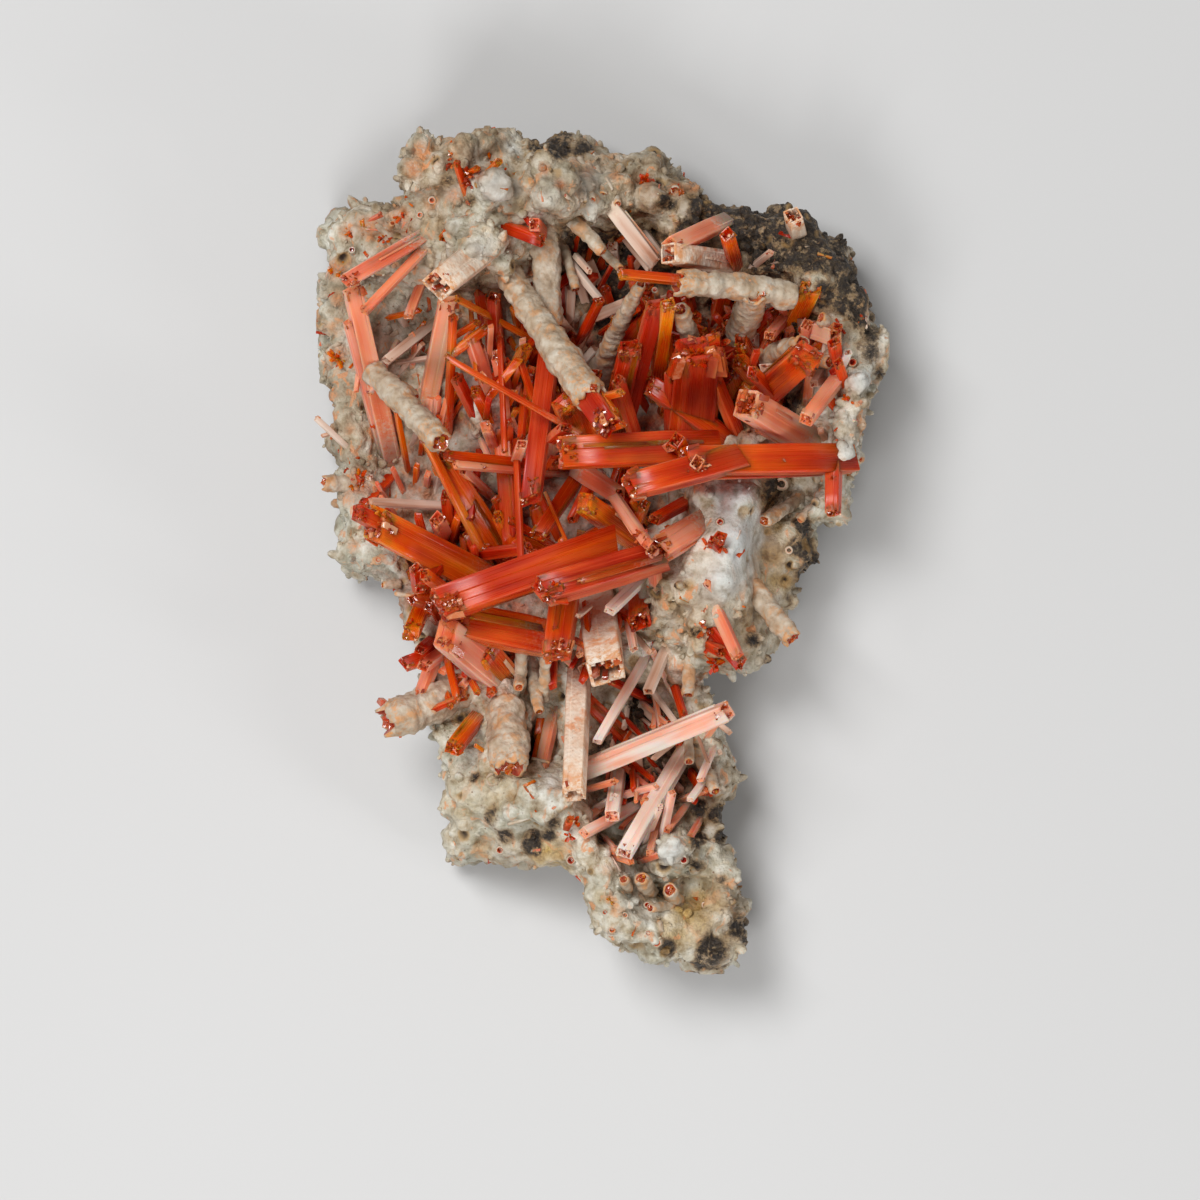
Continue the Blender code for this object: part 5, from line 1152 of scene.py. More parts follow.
def add_druse(batch, key, centre, reach, count, size, index=6, up=(0, 0, 1)):
    """A tuft of tiny glinting crystals round a point."""
    for i in range(count):
        d = np.array([hashed(key, i, 1) - 0.5, hashed(key, i, 2) - 0.5, hashed(key, i, 3) - 0.5])
        c = centre + 2 * reach * d * np.array([1, 1, 0.6])
        axis = d + 0.8 * np.array(up) * 0.5 + 0.25 * np.array([hashed(key, i, 5) - 0.5, hashed(key, i, 6) - 0.5, hashed(key, i, 7) - 0.5])
        axis /= max(np.linalg.norm(axis), 1e-6)
        w = size * (0.5 + hashed(key, i, 8))
        x = np.cross(axis, [0.31, 0.77, 0.55])
        x /= np.linalg.norm(x)
        y = np.cross(axis, x)
        h = w * (0.8 + 1.2 * hashed(key, i, 9))
        skew = 0.5 * (hashed(key, i, 10) - 0.5)
        pts = []
        for z in (-0.5 * h, h):
            for sx, sy in ((1, -0.8), (1, 1), (-1, 0.8), (-1, -1)):
                s = 0.5 * w * (0.85 if z > 0 else 1)
                pts.append(c + x * sx * s + y * sy * s + axis * (z + (skew * sx * w if z > 0 else 0)))
        pts = np.array(pts)
        faces = [(3, 2, 1, 0), (4, 5, 6, 7), (0, 1, 5, 4), (1, 2, 6, 5), (2, 3, 7, 6), (3, 0, 4, 7)]
        batch.add(pts, faces, [index] * 6, pts + 9 * hashed(key, i), hashed(key, i, 41), np.full(8, 0.9), np.zeros(8))


# ---------------------------------------------------------------- materials
def node(tree, kind, **settings):
    made = tree.nodes.new(kind)
    for key, value in settings.items():
        if key in made.inputs:
            made.inputs[key].default_value = value
        else:
            setattr(made, key, value)
    return made


class Paint:
    """Short names for the node kinds the materials use."""

    def __init__(self, name):
        self.material = bpy.data.materials.new(name)
        self.material.use_nodes = True
        self.tree = self.material.node_tree
        self.tree.nodes.clear()
        self.out = self.tree.nodes.new("ShaderNodeOutputMaterial")
        self.shader = self.tree.nodes.new("ShaderNodeBsdfPrincipled")
        self.tree.links.new(self.shader.outputs[0], self.out.inputs["Surface"])

    def link(self, a, b):
        self.tree.links.new(a, b)

    def attribute(self, name, vector=False):
        n = self.tree.nodes.new("ShaderNodeAttribute")
        n.attribute_type = "GEOMETRY"
        n.attribute_name = name
        return n.outputs["Vector" if vector else "Fac"]

    def position(self, scale=1000.0):
        g = self.tree.nodes.new("ShaderNodeTexCoord")
        m = self.tree.nodes.new("ShaderNodeMapping")
        m.inputs["Scale"].default_value = (scale,) * 3
        self.link(g.outputs["Object"], m.inputs["Vector"])
        return m.outputs[0]

    def stretch(self, vector, scale):
        m = self.tree.nodes.new("ShaderNodeMapping")
        m.inputs["Scale"].default_value = scale
        self.link(vector, m.inputs["Vector"])
        return m.outputs[0]

    def noise(self, vector, scale, detail=3.0, rough=0.55, distortion=0.0):
        n = self.tree.nodes.new("ShaderNodeTexNoise")
        n.inputs["Scale"].default_value = scale
        n.inputs["Detail"].default_value = detail
        n.inputs["Roughness"].default_value = rough
        n.inputs["Distortion"].default_value = distortion
        self.link(vector, n.inputs["Vector"])
        return n.outputs["Fac"]

    def cells(self, vector, scale, feature="F1"):
        n = self.tree.nodes.new("ShaderNodeTexVoronoi")
        n.feature = feature
        n.inputs["Scale"].default_value = scale
        self.link(vector, n.inputs["Vector"])
        return n.outputs["Distance"]

    def ramp(self, value, stops):
        n = self.tree.nodes.new("ShaderNodeValToRGB")
        e = n.color_ramp.elements
        while len(e) < len(stops):
            e.new(0.5)
        for item, (place, colour) in zip(e, stops):
            item.position = place
            item.color = (*colour, 1.0) if len(colour) == 3 else (colour[0],) * 3 + (1.0,)
        self.link(value, n.inputs["Fac"])
        return n.outputs["Color"]

    def span(self, value, a, b, c=0.0, d=1.0):
        n = self.tree.nodes.new("ShaderNodeMapRange")
        n.clamp = True
        for i, x in enumerate((a, b, c, d)):
            n.inputs[i + 1].default_value = x
        self.link(value, n.inputs[0])
        return n.outputs[0]

    def math(self, kind, a, b=0.0):
        n = self.tree.nodes.new("ShaderNodeMath")
        n.operation = kind
        for i, x in enumerate((a, b)):
            if isinstance(x, (int, float)):
                n.inputs[i].default_value = x
            else:
                self.link(x, n.inputs[i])
        return n.outputs[0]

    def mix(self, factor, a, b, kind="MIX"):
        n = self.tree.nodes.new("ShaderNodeMix")
        n.data_type = "RGBA"
        n.blend_type = kind
        n.clamp_factor = True
        for socket, x in ((n.inputs[0], factor), (n.inputs[6], a), (n.inputs[7], b)):
            if isinstance(x, (int, float)):
                socket.default_value = x
            elif isinstance(x, tuple):
                socket.default_value = (*x, 1.0)
            else:
                self.link(x, socket)
        return n.outputs[2]

    def bump(self, height, strength, distance, normal=None):
        n = self.tree.nodes.new("ShaderNodeBump")
        n.inputs["Strength"].default_value = strength
        n.inputs["Distance"].default_value = distance
        self.link(height, n.inputs["Height"])
        if normal is not None:
            self.link(normal, n.inputs["Normal"])
        return n.outputs[0]


def rock_paint():
    m = Paint("rock")
    p = m.position()
    broad = m.noise(p, 0.12, 4, 0.6, 0.4)
    mid = m.noise(p, 0.45, 4, 0.6)
    fine = m.noise(p, 2.2, 4, 0.7)
    cream = m.ramp(mid, [(0.32, (0.30, 0.20, 0.10)), (0.43, (0.52, 0.43, 0.30)), (0.55, (0.70, 0.64, 0.52)), (0.68, (0.84, 0.81, 0.72))])
    grey = m.ramp(mid, [(0.3, (0.26, 0.23, 0.15)), (0.5, (0.50, 0.48, 0.38)), (0.7, (0.76, 0.76, 0.68))])
    colour = m.mix(m.span(broad, 0.44, 0.60, 0, 0.8), cream, grey)
    white = m.ramp(mid, [(0.3, (0.54, 0.55, 0.52)), (0.7, (0.70, 0.72, 0.71))])
    colour = m.mix(m.math("MULTIPLY", m.attribute("white"), 0.95), colour, white)
    moss = m.ramp(fine, [(0.3, (0.26, 0.27, 0.20)), (0.55, (0.46, 0.47, 0.39)), (0.8, (0.60, 0.60, 0.53))])
    colour = m.mix(m.math("MULTIPLY", m.attribute("moss"), 0.75), colour, moss)
    ochre = m.ramp(fine, [(0.25, (0.20, 0.11, 0.03)), (0.5, (0.50, 0.32, 0.09)), (0.75, (0.70, 0.54, 0.26))])
    colour = m.mix(m.math("MULTIPLY", m.attribute("ochre"), m.span(mid, 0.38, 0.58, 0.65, 1.0)), colour, ochre)
    rust = m.ramp(fine, [(0.25, (0.36, 0.06, 0.012)), (0.5, (0.66, 0.20, 0.035)), (0.8, (0.80, 0.42, 0.17))])
    colour = m.mix(m.math("MULTIPLY", m.attribute("rust"), m.span(fine, 0.35, 0.55, 0.2, 1.0)), colour, rust)
    # tan, darker crust where the zone says so
    tan = m.mix(1.0, colour, m.ramp(m.noise(p, 0.35, 4, 0.65, 0.5), [(0.36, (0.40, 0.26, 0.15)), (0.50, (0.66, 0.52, 0.40)), (0.66, (0.94, 0.86, 0.78))]), "MULTIPLY")
    colour = m.mix(m.attribute("tan"), colour, tan)
    # scattered orange stains and brown specks over the crust
    stain = m.span(m.noise(m.stretch(p, (1.0, 0.6, 1.0)), 0.50, 3, 0.55, 0.8), 0.60, 0.66)
    stain = m.math("MULTIPLY", stain, m.span(m.attribute("white"), 0.15, 0.6, 1.0, 0.12))
    colour = m.mix(m.math("MULTIPLY", stain, m.span(broad, 0.4, 0.6, 0.9, 0.35)), colour, (0.72, 0.30, 0.12))
    wash = m.span(m.noise(m.stretch(p, (1.0, 0.8, 1.0)), 0.24, 4, 0.6, 0.6), 0.585, 0.66)
    colour = m.mix(m.math("MULTIPLY", wash, m.math("MULTIPLY", m.span(mid, 0.36, 0.60, 0.9, 0.3), m.span(m.attribute("white"), 0.2, 0.8, 1.0, 0.2))), colour, (0.70, 0.34, 0.15))
    pore = m.span(m.cells(p, 0.75), 0.13, 0.07)
    colour = m.mix(m.math("MULTIPLY", pore, m.span(broad, 0.42, 0.58, 0.1, 0.85)), colour, (0.20, 0.09, 0.035))
    # the hollow's floor: red of the growth lining it, with near-black patches of painted shade
    red = m.ramp(m.noise(p, 0.8, 4, 0.65), [(0.32, (0.05, 0.005, 0.001)), (0.48, (0.26, 0.020, 0.003)), (0.60, (0.44, 0.055, 0.008)), (0.76, (0.58, 0.20, 0.07))])
    colour = m.mix(m.math("MULTIPLY", m.attribute("red"), m.span(mid, 0.34, 0.64, 1.0, 0.7)), colour, red)
    dark = m.ramp(m.noise(p, 1.3, 5, 0.75), [(0.34, (0.005, 0.003, 0.002)), (0.52, (0.024, 0.014, 0.008)), (0.64, (0.08, 0.055, 0.027)), (0.78, (0.30, 0.25, 0.15))])
    # a brown rim round each dark place, and crust left in specks on the dark rock; in the hollows the dark colour is
    # painted shade
    edge = m.math("ADD", m.attribute("dark"), m.math("MULTIPLY", m.math("SUBTRACT", m.noise(p, 0.9, 4, 0.7), 0.5), 1.3))
    colour = m.mix(m.math("MULTIPLY", m.span(edge, 0.10, 0.45), 0.8), colour, m.ramp(fine, [(0.35, (0.14, 0.065, 0.022)), (0.65, (0.42, 0.27, 0.12))]))
    speck = m.span(m.noise(p, 0.62, 5, 0.72), 0.53, 0.60, 1.0, 0.12)
    # painted shade: faces turned downward and the low back near the floor get the dark colour too
    cover = m.math("MAXIMUM", m.math("MULTIPLY", m.span(edge, 0.30, 0.70), speck), m.math("MULTIPLY", m.attribute("broken"), 0.6))
    colour = m.mix(m.math("MULTIPLY", cover, m.span(fine, 0.25, 0.5, 0.7, 1.0)), colour, dark)
    # painted shade: the creases between the knobs are darkened
    crease_shade = m.span(m.attribute("crease_shade"), 0.45, 0.95)
    colour = m.mix(m.math("MULTIPLY", crease_shade, 0.85), colour, m.mix(1.0, colour, (0.42, 0.32, 0.20), "MULTIPLY"))
    # a brown stain rings each pit; the near-black inside it is painted shade
    colour = m.mix(m.math("MULTIPLY", m.span(m.attribute("pit"), 0.02, 0.25), 0.8), colour, (0.42, 0.25, 0.09))
    colour = m.mix(m.span(m.attribute("pit"), 0.25, 0.6), colour, (0.035, 0.018, 0.010))
    m.link(colour, m.shader.inputs["Base Color"])
    m.link(m.span(fine, 0.3, 0.7, 0.40, 0.74), m.shader.inputs["Roughness"])
    height = m.math("ADD", m.math("MULTIPLY", m.cells(p, 1.7), 0.5), m.math("MULTIPLY", m.noise(p, 2.4, 4, 0.65), 0.9))
    height = m.math("MULTIPLY", height, m.span(m.attribute("white"), 0.0, 1.0, 1.0, 0.35))
    m.link(m.bump(height, 0.6, 0.0006), m.shader.inputs["Normal"])
    return m.material


def crystal_paint(name, deep, body, glow, coat_and_sheen_colour, coat_and_sheen_most, roughness, transmission, scatter, absorb, density, coat=0.0, shine=0.16):
    m = Paint(name)
    grain = m.attribute("grain", True)
    streak = m.noise(m.stretch(grain, (1.7, 1.7, 0.06)), 1.0, 2, 0.5)
    hair = m.noise(m.stretch(grain, (7.0, 7.0, 0.12)), 1.0, 2, 0.5)
    cloud = m.noise(m.stretch(grain, (0.42, 0.42, 0.10)), 1.0, 1, 0.5)
    chip = m.noise(grain, 2.2, 4, 0.7)
    field = m.math("ADD", m.math("MULTIPLY", streak, 0.18), m.math("MULTIPLY", cloud, 0.82))
    field = m.math("ADD", field, m.math("MULTIPLY", m.math("SUBTRACT", m.attribute("tone"), 0.5), 0.24))
    colour = m.ramp(field, [(0.32, deep), (0.50, body), (0.70, glow)])
    soft = m.span(m.math("ADD", m.math("MULTIPLY", streak, 0.5), m.math("MULTIPLY", cloud, 0.5)), 0.42, 0.60, 0.10 if coat_and_sheen_most < 0.8 else 0.35, 1.0)
    # the pale coat laid over the colour: real coat, painted sheen on side faces and a painted highlight along the edges
    coat_sheen_and_shade = m.math("MULTIPLY", m.math("MULTIPLY", m.attribute("coat_sheen_and_shade"), soft), coat_and_sheen_most)
    coat_sheen_and_shade = m.math("MAXIMUM", coat_sheen_and_shade, m.span(hair, 0.64, 0.78, 0.0, coat_and_sheen_most * 0.14))
    colour = m.mix(coat_sheen_and_shade, colour, coat_and_sheen_colour)
    if coat:
        # the crust creeps up from the root
        creep = m.span(m.math("ADD", m.attribute("along"), m.math("MULTIPLY", m.math("SUBTRACT", chip, 0.5), 0.9)), 0.10, 0.30, coat, 0.0)
        colour = m.mix(creep, colour, (0.72, 0.58, 0.44))
    m.link(colour, m.shader.inputs["Base Color"])
    rough = m.math("ADD", m.span(hair, 0.3, 0.7, roughness * 0.6, roughness * 1.4), m.math("MULTIPLY", coat_sheen_and_shade, 0.2))
    m.link(rough, m.shader.inputs["Roughness"])
    m.shader.inputs["IOR"].default_value = 1.75
    m.shader.inputs["Specular IOR Level"].default_value = shine
    m.shader.inputs["Transmission Weight"].default_value = transmission
    m.shader.inputs["Subsurface Weight"].default_value = scatter
    m.shader.inputs["Subsurface Radius"].default_value = (1.0, 0.20, 0.05)
    m.shader.inputs["Subsurface Scale"].default_value = 0.0022
    if transmission:
        volume = m.tree.nodes.new("ShaderNodeVolumeAbsorption")
        volume.inputs["Color"].default_value = (*absorb, 1.0)
        volume.inputs["Density"].default_value = density
        m.link(volume.outputs[0], m.out.inputs["Volume"])
    height = m.math("ADD", m.math("MULTIPLY", streak, 0.34), m.math("ADD", m.math("MULTIPLY", hair, 0.08), m.math("MULTIPLY", chip, 0.14 + 0.4 * coat * (coat_and_sheen_most > 0.8))))
    m.link(m.bump(height, 0.25, 0.0002), m.shader.inputs["Normal"])
    return m.material


def crust_paint(name, stops, stain, spread):
    m = Paint(name)
    grain = m.attribute("grain", True)
    mid = m.noise(grain, 0.5, 4, 0.6)
    fine = m.noise(grain, 2.4, 4, 0.7)
    colour = m.ramp(mid, [(0.32, stops[0]), (0.5, stops[1]), (0.68, stops[2])])
    patch = m.span(m.noise(grain, 0.42, 3, 0.6, 0.5), spread, spread + 0.10)
    colour = m.mix(m.math("MULTIPLY", patch, 0.75), colour, stain)
    # the free end is stained orange
    end = m.math("MULTIPLY", m.span(m.attribute("along"), 0.72, 1.0), m.span(m.noise(grain, 1.1, 4, 0.7), 0.46, 0.58))
    colour = m.mix(m.math("MULTIPLY", end, 0.85), colour, (0.66, 0.27, 0.07))
    pore = m.span(m.cells(grain, 0.9), 0.15, 0.08)
    colour = m.mix(m.math("MULTIPLY", pore, 0.4), colour, (0.42, 0.18, 0.08))
    # painted shade: the creases between the knobs are darkened
    crease_shade = m.span(m.attribute("coat_sheen_and_shade"), 0.40, 0.95)
    colour = m.mix(m.math("MULTIPLY", crease_shade, 0.6), colour, m.mix(1.0, colour, (0.58, 0.42, 0.30), "MULTIPLY"))
    m.link(colour, m.shader.inputs["Base Color"])
    m.link(m.span(fine, 0.3, 0.7, 0.35, 0.7), m.shader.inputs["Roughness"])
    m.link(m.bump(m.math("ADD", m.noise(grain, 2.6, 4, 0.65), m.cells(grain, 1.8)), 0.35, 0.0003), m.shader.inputs["Normal"])
    return m.material


def druse_paint():
    m = Paint("druse")
    grain = m.attribute("grain", True)
    tone = m.attribute("tone")
    colour = m.ramp(tone, [(0.0, (0.28, 0.025, 0.005)), (0.45, (0.50, 0.085, 0.016)), (0.8, (0.64, 0.22, 0.07)), (1.0, (0.80, 0.50, 0.32))])
    colour = m.mix(m.span(m.noise(grain, 2.0, 3), 0.45, 0.65, 0, 0.25), colour, (0.80, 0.50, 0.32))
    m.link(colour, m.shader.inputs["Base Color"])
    m.link(m.span(m.noise(grain, 3.0, 2), 0.3, 0.7, 0.10, 0.28), m.shader.inputs["Roughness"])
    m.shader.inputs["IOR"].default_value = 1.9
    return m.material


rock_material = rock_paint()
PAINTS = [
    crystal_paint("ruby", (0.44, 0.014, 0.0002), (0.62, 0.040, 0.0005), (0.84, 0.105, 0.002), (0.80, 0.21, 0.10), 0.66, 0.32, 0.12, 0.75, (1.0, 0.08, 0.01), 1500, 0.0, 0.13),
    crystal_paint("flame", (0.60, 0.040, 0.0003), (0.80, 0.10, 0.0008), (0.95, 0.21, 0.004), (0.95, 0.38, 0.15), 0.5, 0.24, 0.15, 0.75, (1.0, 0.18, 0.01), 1300, 0.2, 0.13),
    crystal_paint("rose", (0.70, 0.085, 0.010), (0.80, 0.18, 0.045), (0.84, 0.30, 0.13), (0.78, 0.48, 0.39), 0.85, 0.34, 0.0, 0.40, (1.0, 0.35, 0.2), 900, 0.7),
    crystal_paint("tan", (0.42, 0.14, 0.05), (0.60, 0.31, 0.18), (0.74, 0.52, 0.38), (0.74, 0.63, 0.55), 0.8, 0.42, 0.0, 0.0, (1.0, 0.5, 0.3), 900, 0.8),
    crust_paint("husk", ((0.70, 0.42, 0.26), (0.80, 0.64, 0.50), (0.84, 0.75, 0.64)), (0.72, 0.28, 0.11), 0.54),
    crust_paint("crust", ((0.38, 0.27, 0.17), (0.50, 0.40, 0.29), (0.60, 0.53, 0.43)), (0.58, 0.29, 0.12), 0.53),
    druse_paint(),
    crystal_paint("amber", (0.34, 0.02, 0.002), (0.62, 0.06, 0.005), (0.86, 0.20, 0.02), (0.92, 0.60, 0.40), 0.5, 0.12, 0.30, 0.2, (1.0, 0.25, 0.05), 1200, 0.0, 0.6),
    crystal_paint("frost", (0.84, 0.24, 0.10), (0.84, 0.46, 0.32), (0.84, 0.58, 0.46), (0.80, 0.69, 0.62), 0.92, 0.44, 0.0, 0.25, (1.0, 0.5, 0.4), 700, 0.8),
]


# ---------------------------------------------------------------- put together
def habit_key(name):
    return sum((i + 1) * ord(c) for i, c in enumerate(name)) % 9973


# how some of the named crystals look where their surface differs from their habit
LOOKS = {
    "diagonal_front": "ruby", "crossbar_pink": "ruby", "lower_pink": "rose", "left_short": "ruby", "long_pink": "frost", "strut_white": "frost",
    "leg_needle": "frost", "leg_post": "frost", "leg_bar": "frost", "pale_strut": "frost", "pink_lath": "rose", "level_bar_a": "flame",
    "short_bar": "flame", "great_left": "flame", "lower_red": "flame", "lower_upright": "ruby", "orange_block": "flame", "back_red": "flame",
    "top_left_bar": "rose", "upper_pink": "rose", "right_pink": "rose", "left_stub": "rose", "end_upright": "flame", "grey_bar": "tan",
}
BARE = {"white_finger": 0.17, "fan_white": 0.0, "brown_finger": 0.0}


def add_named(batch, entry):
    """One crystal of the table, with its detail."""
    name, habit, a, b, width, ratio, roll, last = entry
    key = habit_key(name)
    root, tip = at(*a), at(*b)
    mid = (a[2] + b[2]) / 2
    wide = width * (EYE_MM - mid) / (EYE_MM - PLANE_MM) / UNITS_PER_MM
    look = LOOKS.get(name, habit)
    if habit == "crust":
        add_finger(batch, key, root, tip, wide, last, BARE.get(name, 0.0))
    elif width > 13:
        hollow = 0.8 if habit == "husk" else (0.25 if hashed(key, 77) > 0.4 and width > 15 else 0.0)
        add_bundle(batch, key, look, root, tip, wide, ratio, roll, last, hollow)
    else:
        add_prism(batch, key, look, root, tip, wide, ratio, roll, last)


# tufts of tiny glinting crystals on the named ones: place along it, reach in mm, count, size, paint
TUFTS = [
    ("crossbar_long", 0.95, 1.3, 30, 0.34, 7), ("crossbar_long", 0.80, 1.0, 14, 0.40, 6), ("crossbar_long", 0.45, 0.7, 8, 0.30, 6),
    ("crossbar_pink", 0.42, 1.2, 16, 0.38, 6), ("crossbar_pink", 0.55, 0.8, 8, 0.34, 7), ("crossbar_back", 0.20, 1.5, 44, 0.50, 7),
    ("crossbar_back", 0.96, 1.6, 26, 0.42, 0), ("diagonal_front", 0.55, 0.9, 14, 0.30, 7), ("diagonal_front", 0.76, 0.8, 10, 0.30, 6),
    ("diagonal_front", 0.96, 1.6, 26, 0.42, 0), ("diagonal_upper", 0.96, 2.0, 40, 0.46, 7), ("pink_needle", 0.95, 1.2, 26, 0.36, 7),
    ("pink_root", 0.95, 1.3, 24, 0.40, 7), ("pink_block", 0.97, 1.9, 44, 0.42, 7), ("right_ruby", 0.96, 1.4, 24, 0.38, 7),
    ("fan_block", 0.97, 2.2, 44, 0.50, 0), ("lower_upright", 0.96, 1.6, 28, 0.44, 7), ("lower_flame", 0.96, 1.8, 30, 0.44, 7),
    ("great_left", 0.97, 1.6, 30, 0.42, 7), ("stepped_end", 0.95, 1.0, 18, 0.40, 0), ("hollow_husk", 0.97, 1.3, 20, 0.42, 7),
    ("end_upright", 0.94, 1.3, 24, 0.42, 0), ("front_ruby", 0.95, 1.0, 16, 0.40, 0), ("orange_block", 0.95, 1.5, 24, 0.42, 7),
    ("upper_pink", 0.95, 1.0, 14, 0.34, 0), ("corner_square", 0.96, 1.0, 18, 0.38, 7), ("crossbar_end", 0.5, 0.7, 8, 0.3, 7),
    ("tall_flame", 0.72, 0.7, 10, 0.3, 7), ("bright_orange", 0.94, 1.2, 16, 0.36, 7), ("level_bar_b", 0.8, 0.6, 8, 0.28, 7),
    ("hollow_end_left", 0.96, 1.3, 24, 0.36, 7), ("left_finger", 0.97, 0.8, 12, 0.36, 7), ("white_finger", 0.97, 1.6, 30, 0.46, 7),
    ("lower_pink", 0.9, 1.2, 14, 0.36, 7), ("long_pink", 0.97, 0.7, 10, 0.3, 0), ("top_left_bar", 0.96, 0.8, 12, 0.32, 7),
]


def add_tuft(batch, entry, j, tuft):
    name, habit, a, b, width, ratio, roll, last = entry
    where, reach, count, size, index = tuft[1:]
    root, tip = at(*a), at(*b)
    sight = np.array(EYE) - tip
    sight /= np.linalg.norm(sight)
    axis = (tip - root) / np.linalg.norm(tip - root)
    # seated on the side that faces the view, not beyond the end
    aside = sight - axis * np.dot(sight, axis)
    centre = root + (tip - root) * (where - 0.02) + aside * 0.36 * width * ratio / UNITS_PER_MM
    add_druse(batch, 60000 + 50 * habit_key(name) + j, centre, 0.5 * reach, count, 0.75 * size, index)


def sits_at(u, v):
    return relief(u, v)[0]


joined = {m: c for c, members in GROWN_TOGETHER.items() for m in members}
groups = {}
for entry in CRYSTALS:
    groups.setdefault(joined.get(entry[0], entry[0]), []).append(entry)

rock = build_rock()
rock.data.materials.append(rock_material)
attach(rock, "root")
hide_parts("matrix")
knobs = knob_skin(rock, 2200)
knobs.data.materials.append(rock_material)
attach(knobs, "root")

for group, members in groups.items():
    batch = Batch()
    for entry in members:
        add_named(batch, entry)
        for j, tuft in enumerate(TUFTS):
            if tuft[0] == entry[0]:
                add_tuft(batch, entry, j, tuft)
    piece = batch.object("grown." + group, PAINTS)
    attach(piece, "root")
    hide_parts(group)

small = Batch()
for i, (habit, a, b, width) in enumerate(SMALL):
    key = 20000 + i
    span_mm = math.hypot(b[0] - a[0], b[1] - a[1]) / UNITS_PER_MM
    za = a[2] if len(a) > 2 else sits_at(a[0], a[1]) - 0.6
    zb = b[2] if len(b) > 2 else max(sits_at(b[0], b[1]) + 0.8, za + 0.35 * span_mm)
    root, tip = at(a[0], a[1], za), at(b[0], b[1], zb)
    wide = width / UNITS_PER_MM
    if habit == "crust":
        add_finger(small, key, root, tip, wide, 0.0)
    else:
        add_prism(small, key, habit, root, tip, wide, 0.85, 15 + 30 * hashed(key, 3), 0.2, 0.5 if width > 10 else 0.0)

# tubes and beads of the crust: place, rise, outer radius in mm
for i, (u, v, up, r, core) in enumerate((
    (605, 912, 0.2, 0.42, "ruby"), (625, 915, 0.2, 0.45, "amber"), (647, 905, 0.2, 0.5, "ruby"), (648, 933, 0.2, 0.45, "amber"), (625, 883, 0.9, 0.85, "ruby"),
    (609, 899, 0.3, 0.5, "flame"), (612, 930, 0.2, 0.55, "flame"), (657, 942, 0.3, 0.75, "ruby"), (493, 780, 0.4, 1.05, "ruby"), (782, 484, 0.9, 1.0, "tan"),
    (774, 545, 0.4, 0.6, "tan"), (789, 550, 0.5, 0.6, "tan"), (569, 822, 0.4, 0.75, "ruby"), (571, 860, 0.6, 0.7, "amber"), (545, 168, 0.5, 0.8, "flame"),
    (560, 185, 0.6, 0.8, "amber"), (675, 190, 0.4, 0.7, "ruby"), (535, 225, 1.4, 0.9, "ruby"), (507, 721, 1.2, 0.0, "ruby"), (720, 522, 0.4, 0.6, "ruby"),
    (584, 852, 0.5, 0.6, "amber"), (684, 860, 0.6, 0.6, "ruby"), (597, 868, 0.3, 0.55, "amber"), (705, 905, 0.3, 0.5, "tan"), (640, 860, 0.6, 0.7, "amber"),
    (812, 516, 0.5, 0.6, "tan"), (852, 362, 0.4, 0.7, "ruby"), (846, 452, 0.3, 0.6, "amber"), (378, 560, 0.3, 0.5, "rose"), (352, 250, 0.3, 0.5, "amber"),
    (432, 200, 0.5, 0.6, "rose"), (420, 215, 0.4, 0.5, "rose"), (620, 182, 0.4, 0.6, "ruby"), (500, 850, 0.3, 0.6, "amber"), (470, 790, 0.3, 0.5, "tan"),
)):
    if r:
        lean = np.array([0.5 * (hashed(i, 331) - 0.5), 0.5 * (hashed(i, 332) - 0.5), 1.0])
        add_tube(small, 45000 + i, at(u, v, sits_at(u, v) + up), lean, r, 0.5 * r, core)

# druse on the crust: place, reach in mm, count, size, paint
for i, (u, v, reach, count, size, index) in enumerate((
    (472, 178, 1.3, 46, 0.34, 7), (455, 160, 1.1, 30, 0.34, 7), (488, 163, 1.2, 30, 0.34, 1), (500, 175, 0.8, 14, 0.30, 1), (545, 168, 0.7, 14, 0.34, 1),
    (560, 185, 0.7, 14, 0.36, 7), (714, 640, 1.3, 50, 0.42, 0), (706, 628, 1.0, 24, 0.38, 7), (716, 664, 0.9, 18, 0.38, 0),
    (537, 541, 1.1, 26, 0.36, 7), (424, 150, 0.7, 10, 0.34, 1), (416, 172, 0.7, 10, 0.34, 1), (675, 190, 0.7, 12, 0.36, 0), (645, 181, 0.7, 12, 0.36, 0),
    (392, 702, 0.9, 14, 0.34, 1), (397, 728, 0.9, 14, 0.36, 1), (434, 694, 0.8, 12, 0.34, 1), (575, 822, 0.6, 10, 0.34, 0), (570, 836, 0.5, 8, 0.30, 0),
    (335, 268, 0.9, 12, 0.34, 1), (336, 358, 0.9, 14, 0.36, 1), (357, 480, 1.0, 16, 0.34, 1), (722, 546, 0.6, 8, 0.30, 7), (708, 545, 0.6, 10, 0.32, 0),
    (350, 232, 0.8, 10, 0.32, 1), (402, 215, 0.8, 10, 0.32, 1), (385, 240, 0.8, 10, 0.32, 1), (850, 400, 0.7, 10, 0.32, 1), (842, 440, 0.7, 10, 0.32, 1),
)):
    add_druse(small, 52000 + 97 * i, at(u, v, sits_at(u, v) + 0.3), reach, count, size, index)

